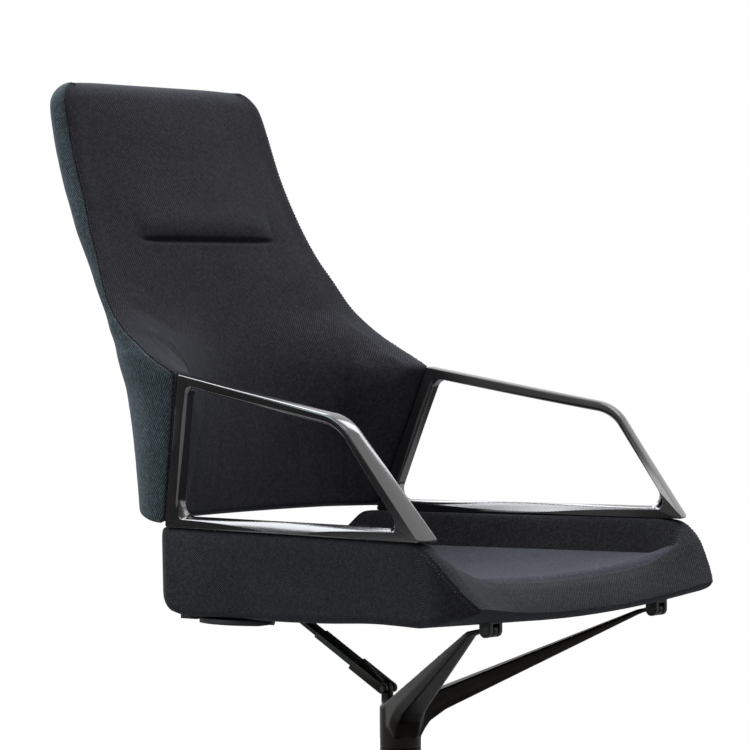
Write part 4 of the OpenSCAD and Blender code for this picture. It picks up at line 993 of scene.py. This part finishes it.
def member_lines():
    """The outer outline of the loop, its window, and the traits of the section at each point:
    width, toe-in, thinning, and the rim."""
    corners = np.array([[ARM_TOP_REAR, ARM_TOP_Z], [-BEND_FRONT, RAIL_Z + BEND_RISE],
                        [-ARM_FOOT, RAIL_Z + SOFT_GAP], [ARM_REAR, RAIL_Z + SOFT_GAP]])
    lines = []
    for i, thick in enumerate((ARM_TOP_T, ARM_FRONT_T, ARM_BASE_T, ARM_REAR_T)):
        d = unit(corners[(i + 1) % 4] - corners[i])
        lines.append((corners[i] - np.array([d[1], -d[0]]) * thick, d))
    window = []
    for i in range(4):
        (p, u), (q, v) = lines[i - 1], lines[i]
        window.append(p + u * cross2(q - p, v) / cross2(u, v))
    outer_r = [ARM_EDGE_R, BEND_R, ARM_EDGE_R, ARM_EDGE_R]
    inner_r = [WINDOW_R, BEND_R - ARM_FRONT_T, WINDOW_R, WINDOW_REAR_R]
    shape = np.array([(ARM_REAR_W, 0, 0), (ARM_BEND_W, 0.8, 0.7), (ARM_FOOT_W, 1, 1), (ARM_REAR_W, 0, 0)])
    outline, inline, traits = [], [], []
    arcs = [(rounded(corners, i, outer_r[i]), rounded(window, i, inner_r[i])) for i in range(4)]
    for i in range(4):
        k = (i + 1) % 4
        (out, inn), (next_out, next_in) = arcs[i], arcs[k]
        outline += out
        inline += inn
        traits += [np.r_[shape[i], mix(RIM[i - 1], RIM[i], ease(t))] for t in np.linspace(0, 1, len(out))]
        for t in np.linspace(0, 1, SIDE_STEPS + 1)[1:-1]:
            outline.append(mix(out[-1], next_out[0], t))
            inline.append(mix(inn[-1], next_in[0], t))
            spread = (t**3, t, 1 - (1 - t) ** 3, t)[i]
            width = mix(shape[i, 0], shape[k, 0], t)
            traits.append(np.r_[width, mix(shape[i, 1:], shape[k, 1:], spread), RIM[i]])
    return outline, inline, traits


def arm_loop():
    """One closed loop of polished metal, rounded round its window on both faces."""
    sections = []
    turn = np.linspace(0, math.pi / 2, RIM_STEPS + 1)
    flat = np.linspace(0, 1, RIM_STEPS + 1)
    for o, n, (w, toe, thin, rim_w, rim_d, crown, full) in zip(*member_lines()):
        thick = np.linalg.norm(o - n)
        c, e, d, crown = rim_w / thick, ARM_EDGE_R / thick, ARM_EDGE_R, crown / thick
        rim = list(zip(c * (1 - mix(flat, np.sin(turn), full)), rim_d * mix(flat, 1 - np.cos(turn), full)))
        edge = [(1 - e, 0), (1 - 0.3 * e, 0.3 * d), (1, d), (1 + 0.75 * crown, mix(d, w - d, 0.22))]
        profile = edge + [(1 + crown, w / 2)] + [(a, w - b) for a, b in edge[::-1] + rim] + rim[::-1]
        ring = []
        for a, b in profile:
            y, z = mix(n[0], o[0], a), mix(n[1], o[1], a)
            lead = ARM_TOE * toe + ARM_THIN * thin * (1 - a)
            ring.append([arm_x(y, z) - b, y - lead * b / w, z])
        sections.append(ring)
    return np.array(sections)


def build_arms():
    sections = arm_loop()
    for side, name in ((1, "left_arm"), (-1, "right_arm")):
        points = sections.reshape(-1, 3) * [side, 1, 1]
        piece = piece_from(f"{name}_loop", points, net(*sections.shape[:2], True, True), "bronze_metal")
        face_outwards(piece)
        break_edges(piece, 0.5, 24)
        evened = piece.modifiers.new("even_shading", "WEIGHTED_NORMAL")
        evened.weight = 100
        apply_all(piece)
        stand_for(piece, name, "seat")


# The metalwork
SLOTS = {row["node"]: row["material_slot"] for row in frame["record"]["subparts"]}
BODY_OF = {node: body for body, nodes in frame["record"]["behaviour"]["bodies"].items() for node in nodes}


def copy_of(node, name, finish):
    piece = new_object(name, frame["nodes"][node].data.copy())
    dress(piece, FINISH[finish])
    return piece


def cast(node, name, finish, body, grain, smoothing):
    """A casting: the node's own form with every edge rounded as a mould leaves it."""
    piece = copy_of(node, name, finish)
    skin = piece.modifiers.new("skin", "REMESH")
    skin.mode = "VOXEL"
    skin.voxel_size = grain * MM
    apply_all(piece)
    ease_off = piece.modifiers.new("ease_off", "SMOOTH")
    ease_off.factor = 0.6
    ease_off.iterations = smoothing
    apply_all(piece)
    dress(piece, FINISH[finish])
    piece.data.shade_smooth()
    stand_for(piece, node, body)
    return piece


def edged(node):
    """A machined or moulded piece: the node's own form with its edges broken."""
    piece = copy_of(node, f"{node}_finished", SLOTS[node])
    work = bmesh.new()
    work.from_mesh(piece.data)
    bmesh.ops.remove_doubles(work, verts=work.verts, dist=0.01 * MM)
    bmesh.ops.dissolve_limit(work, angle_limit=math.radians(2), verts=work.verts, edges=work.edges)
    work.to_mesh(piece.data)
    work.free()
    break_edges(piece, 0.6, 40)
    piece.data.set_sharp_from_angle(angle=math.radians(32))
    stand_for(piece, node, BODY_OF[node])


def finish_nodes():
    """Every CAD node gets a finish too; the fabric's nodes take the tub's."""
    for name, node in frame["nodes"].items():
        dress(node, FINISH[{"charcoal_fabric": "tub_fabric"}.get(SLOTS[name], SLOTS[name])])


def build_metalwork():
    hub = cast("hub_spider", "hub_casting", "satin_hub_metal", "hub", 1.6, 6)
    cut_away(hub, ring_points(*HUB_GROOVE))
    cast("star_base", "base_casting", "bronze_metal", "base", 2.2, 8)
    softened = ["column_cover", "strut_housing", "strut_stage", "strut_rod", "tilt_brackets",
                "strut_bracket", "height_paddle", "paddle_bracket", "stop_pads", "stand_tube"]
    for i in range(1, 6):
        softened += [f"castor_body_{i}", f"left_wheel_{i}", f"right_wheel_{i}"]
    for node in softened:
        edged(node)


def build_floor():
    """A round of painted floor that the chair stands on."""
    turns = np.radians(np.arange(0, 360, 3))
    rim = FLOOR_R * np.stack([np.cos(turns), np.sin(turns), 0 * turns], 1)
    faces = [(0, 1 + i, 1 + (i + 1) % len(rim)) for i in range(len(rim))]
    floor = piece_from("studio_floor", [(0, 0, 0), *rim], faces, "thread", smooth=False)
    dress(floor, studio_floor("painted_floor"))


photo_camera()
studio()
finish_nodes()
build_back()
build_seat()
build_arms()
build_metalwork()
build_floor()
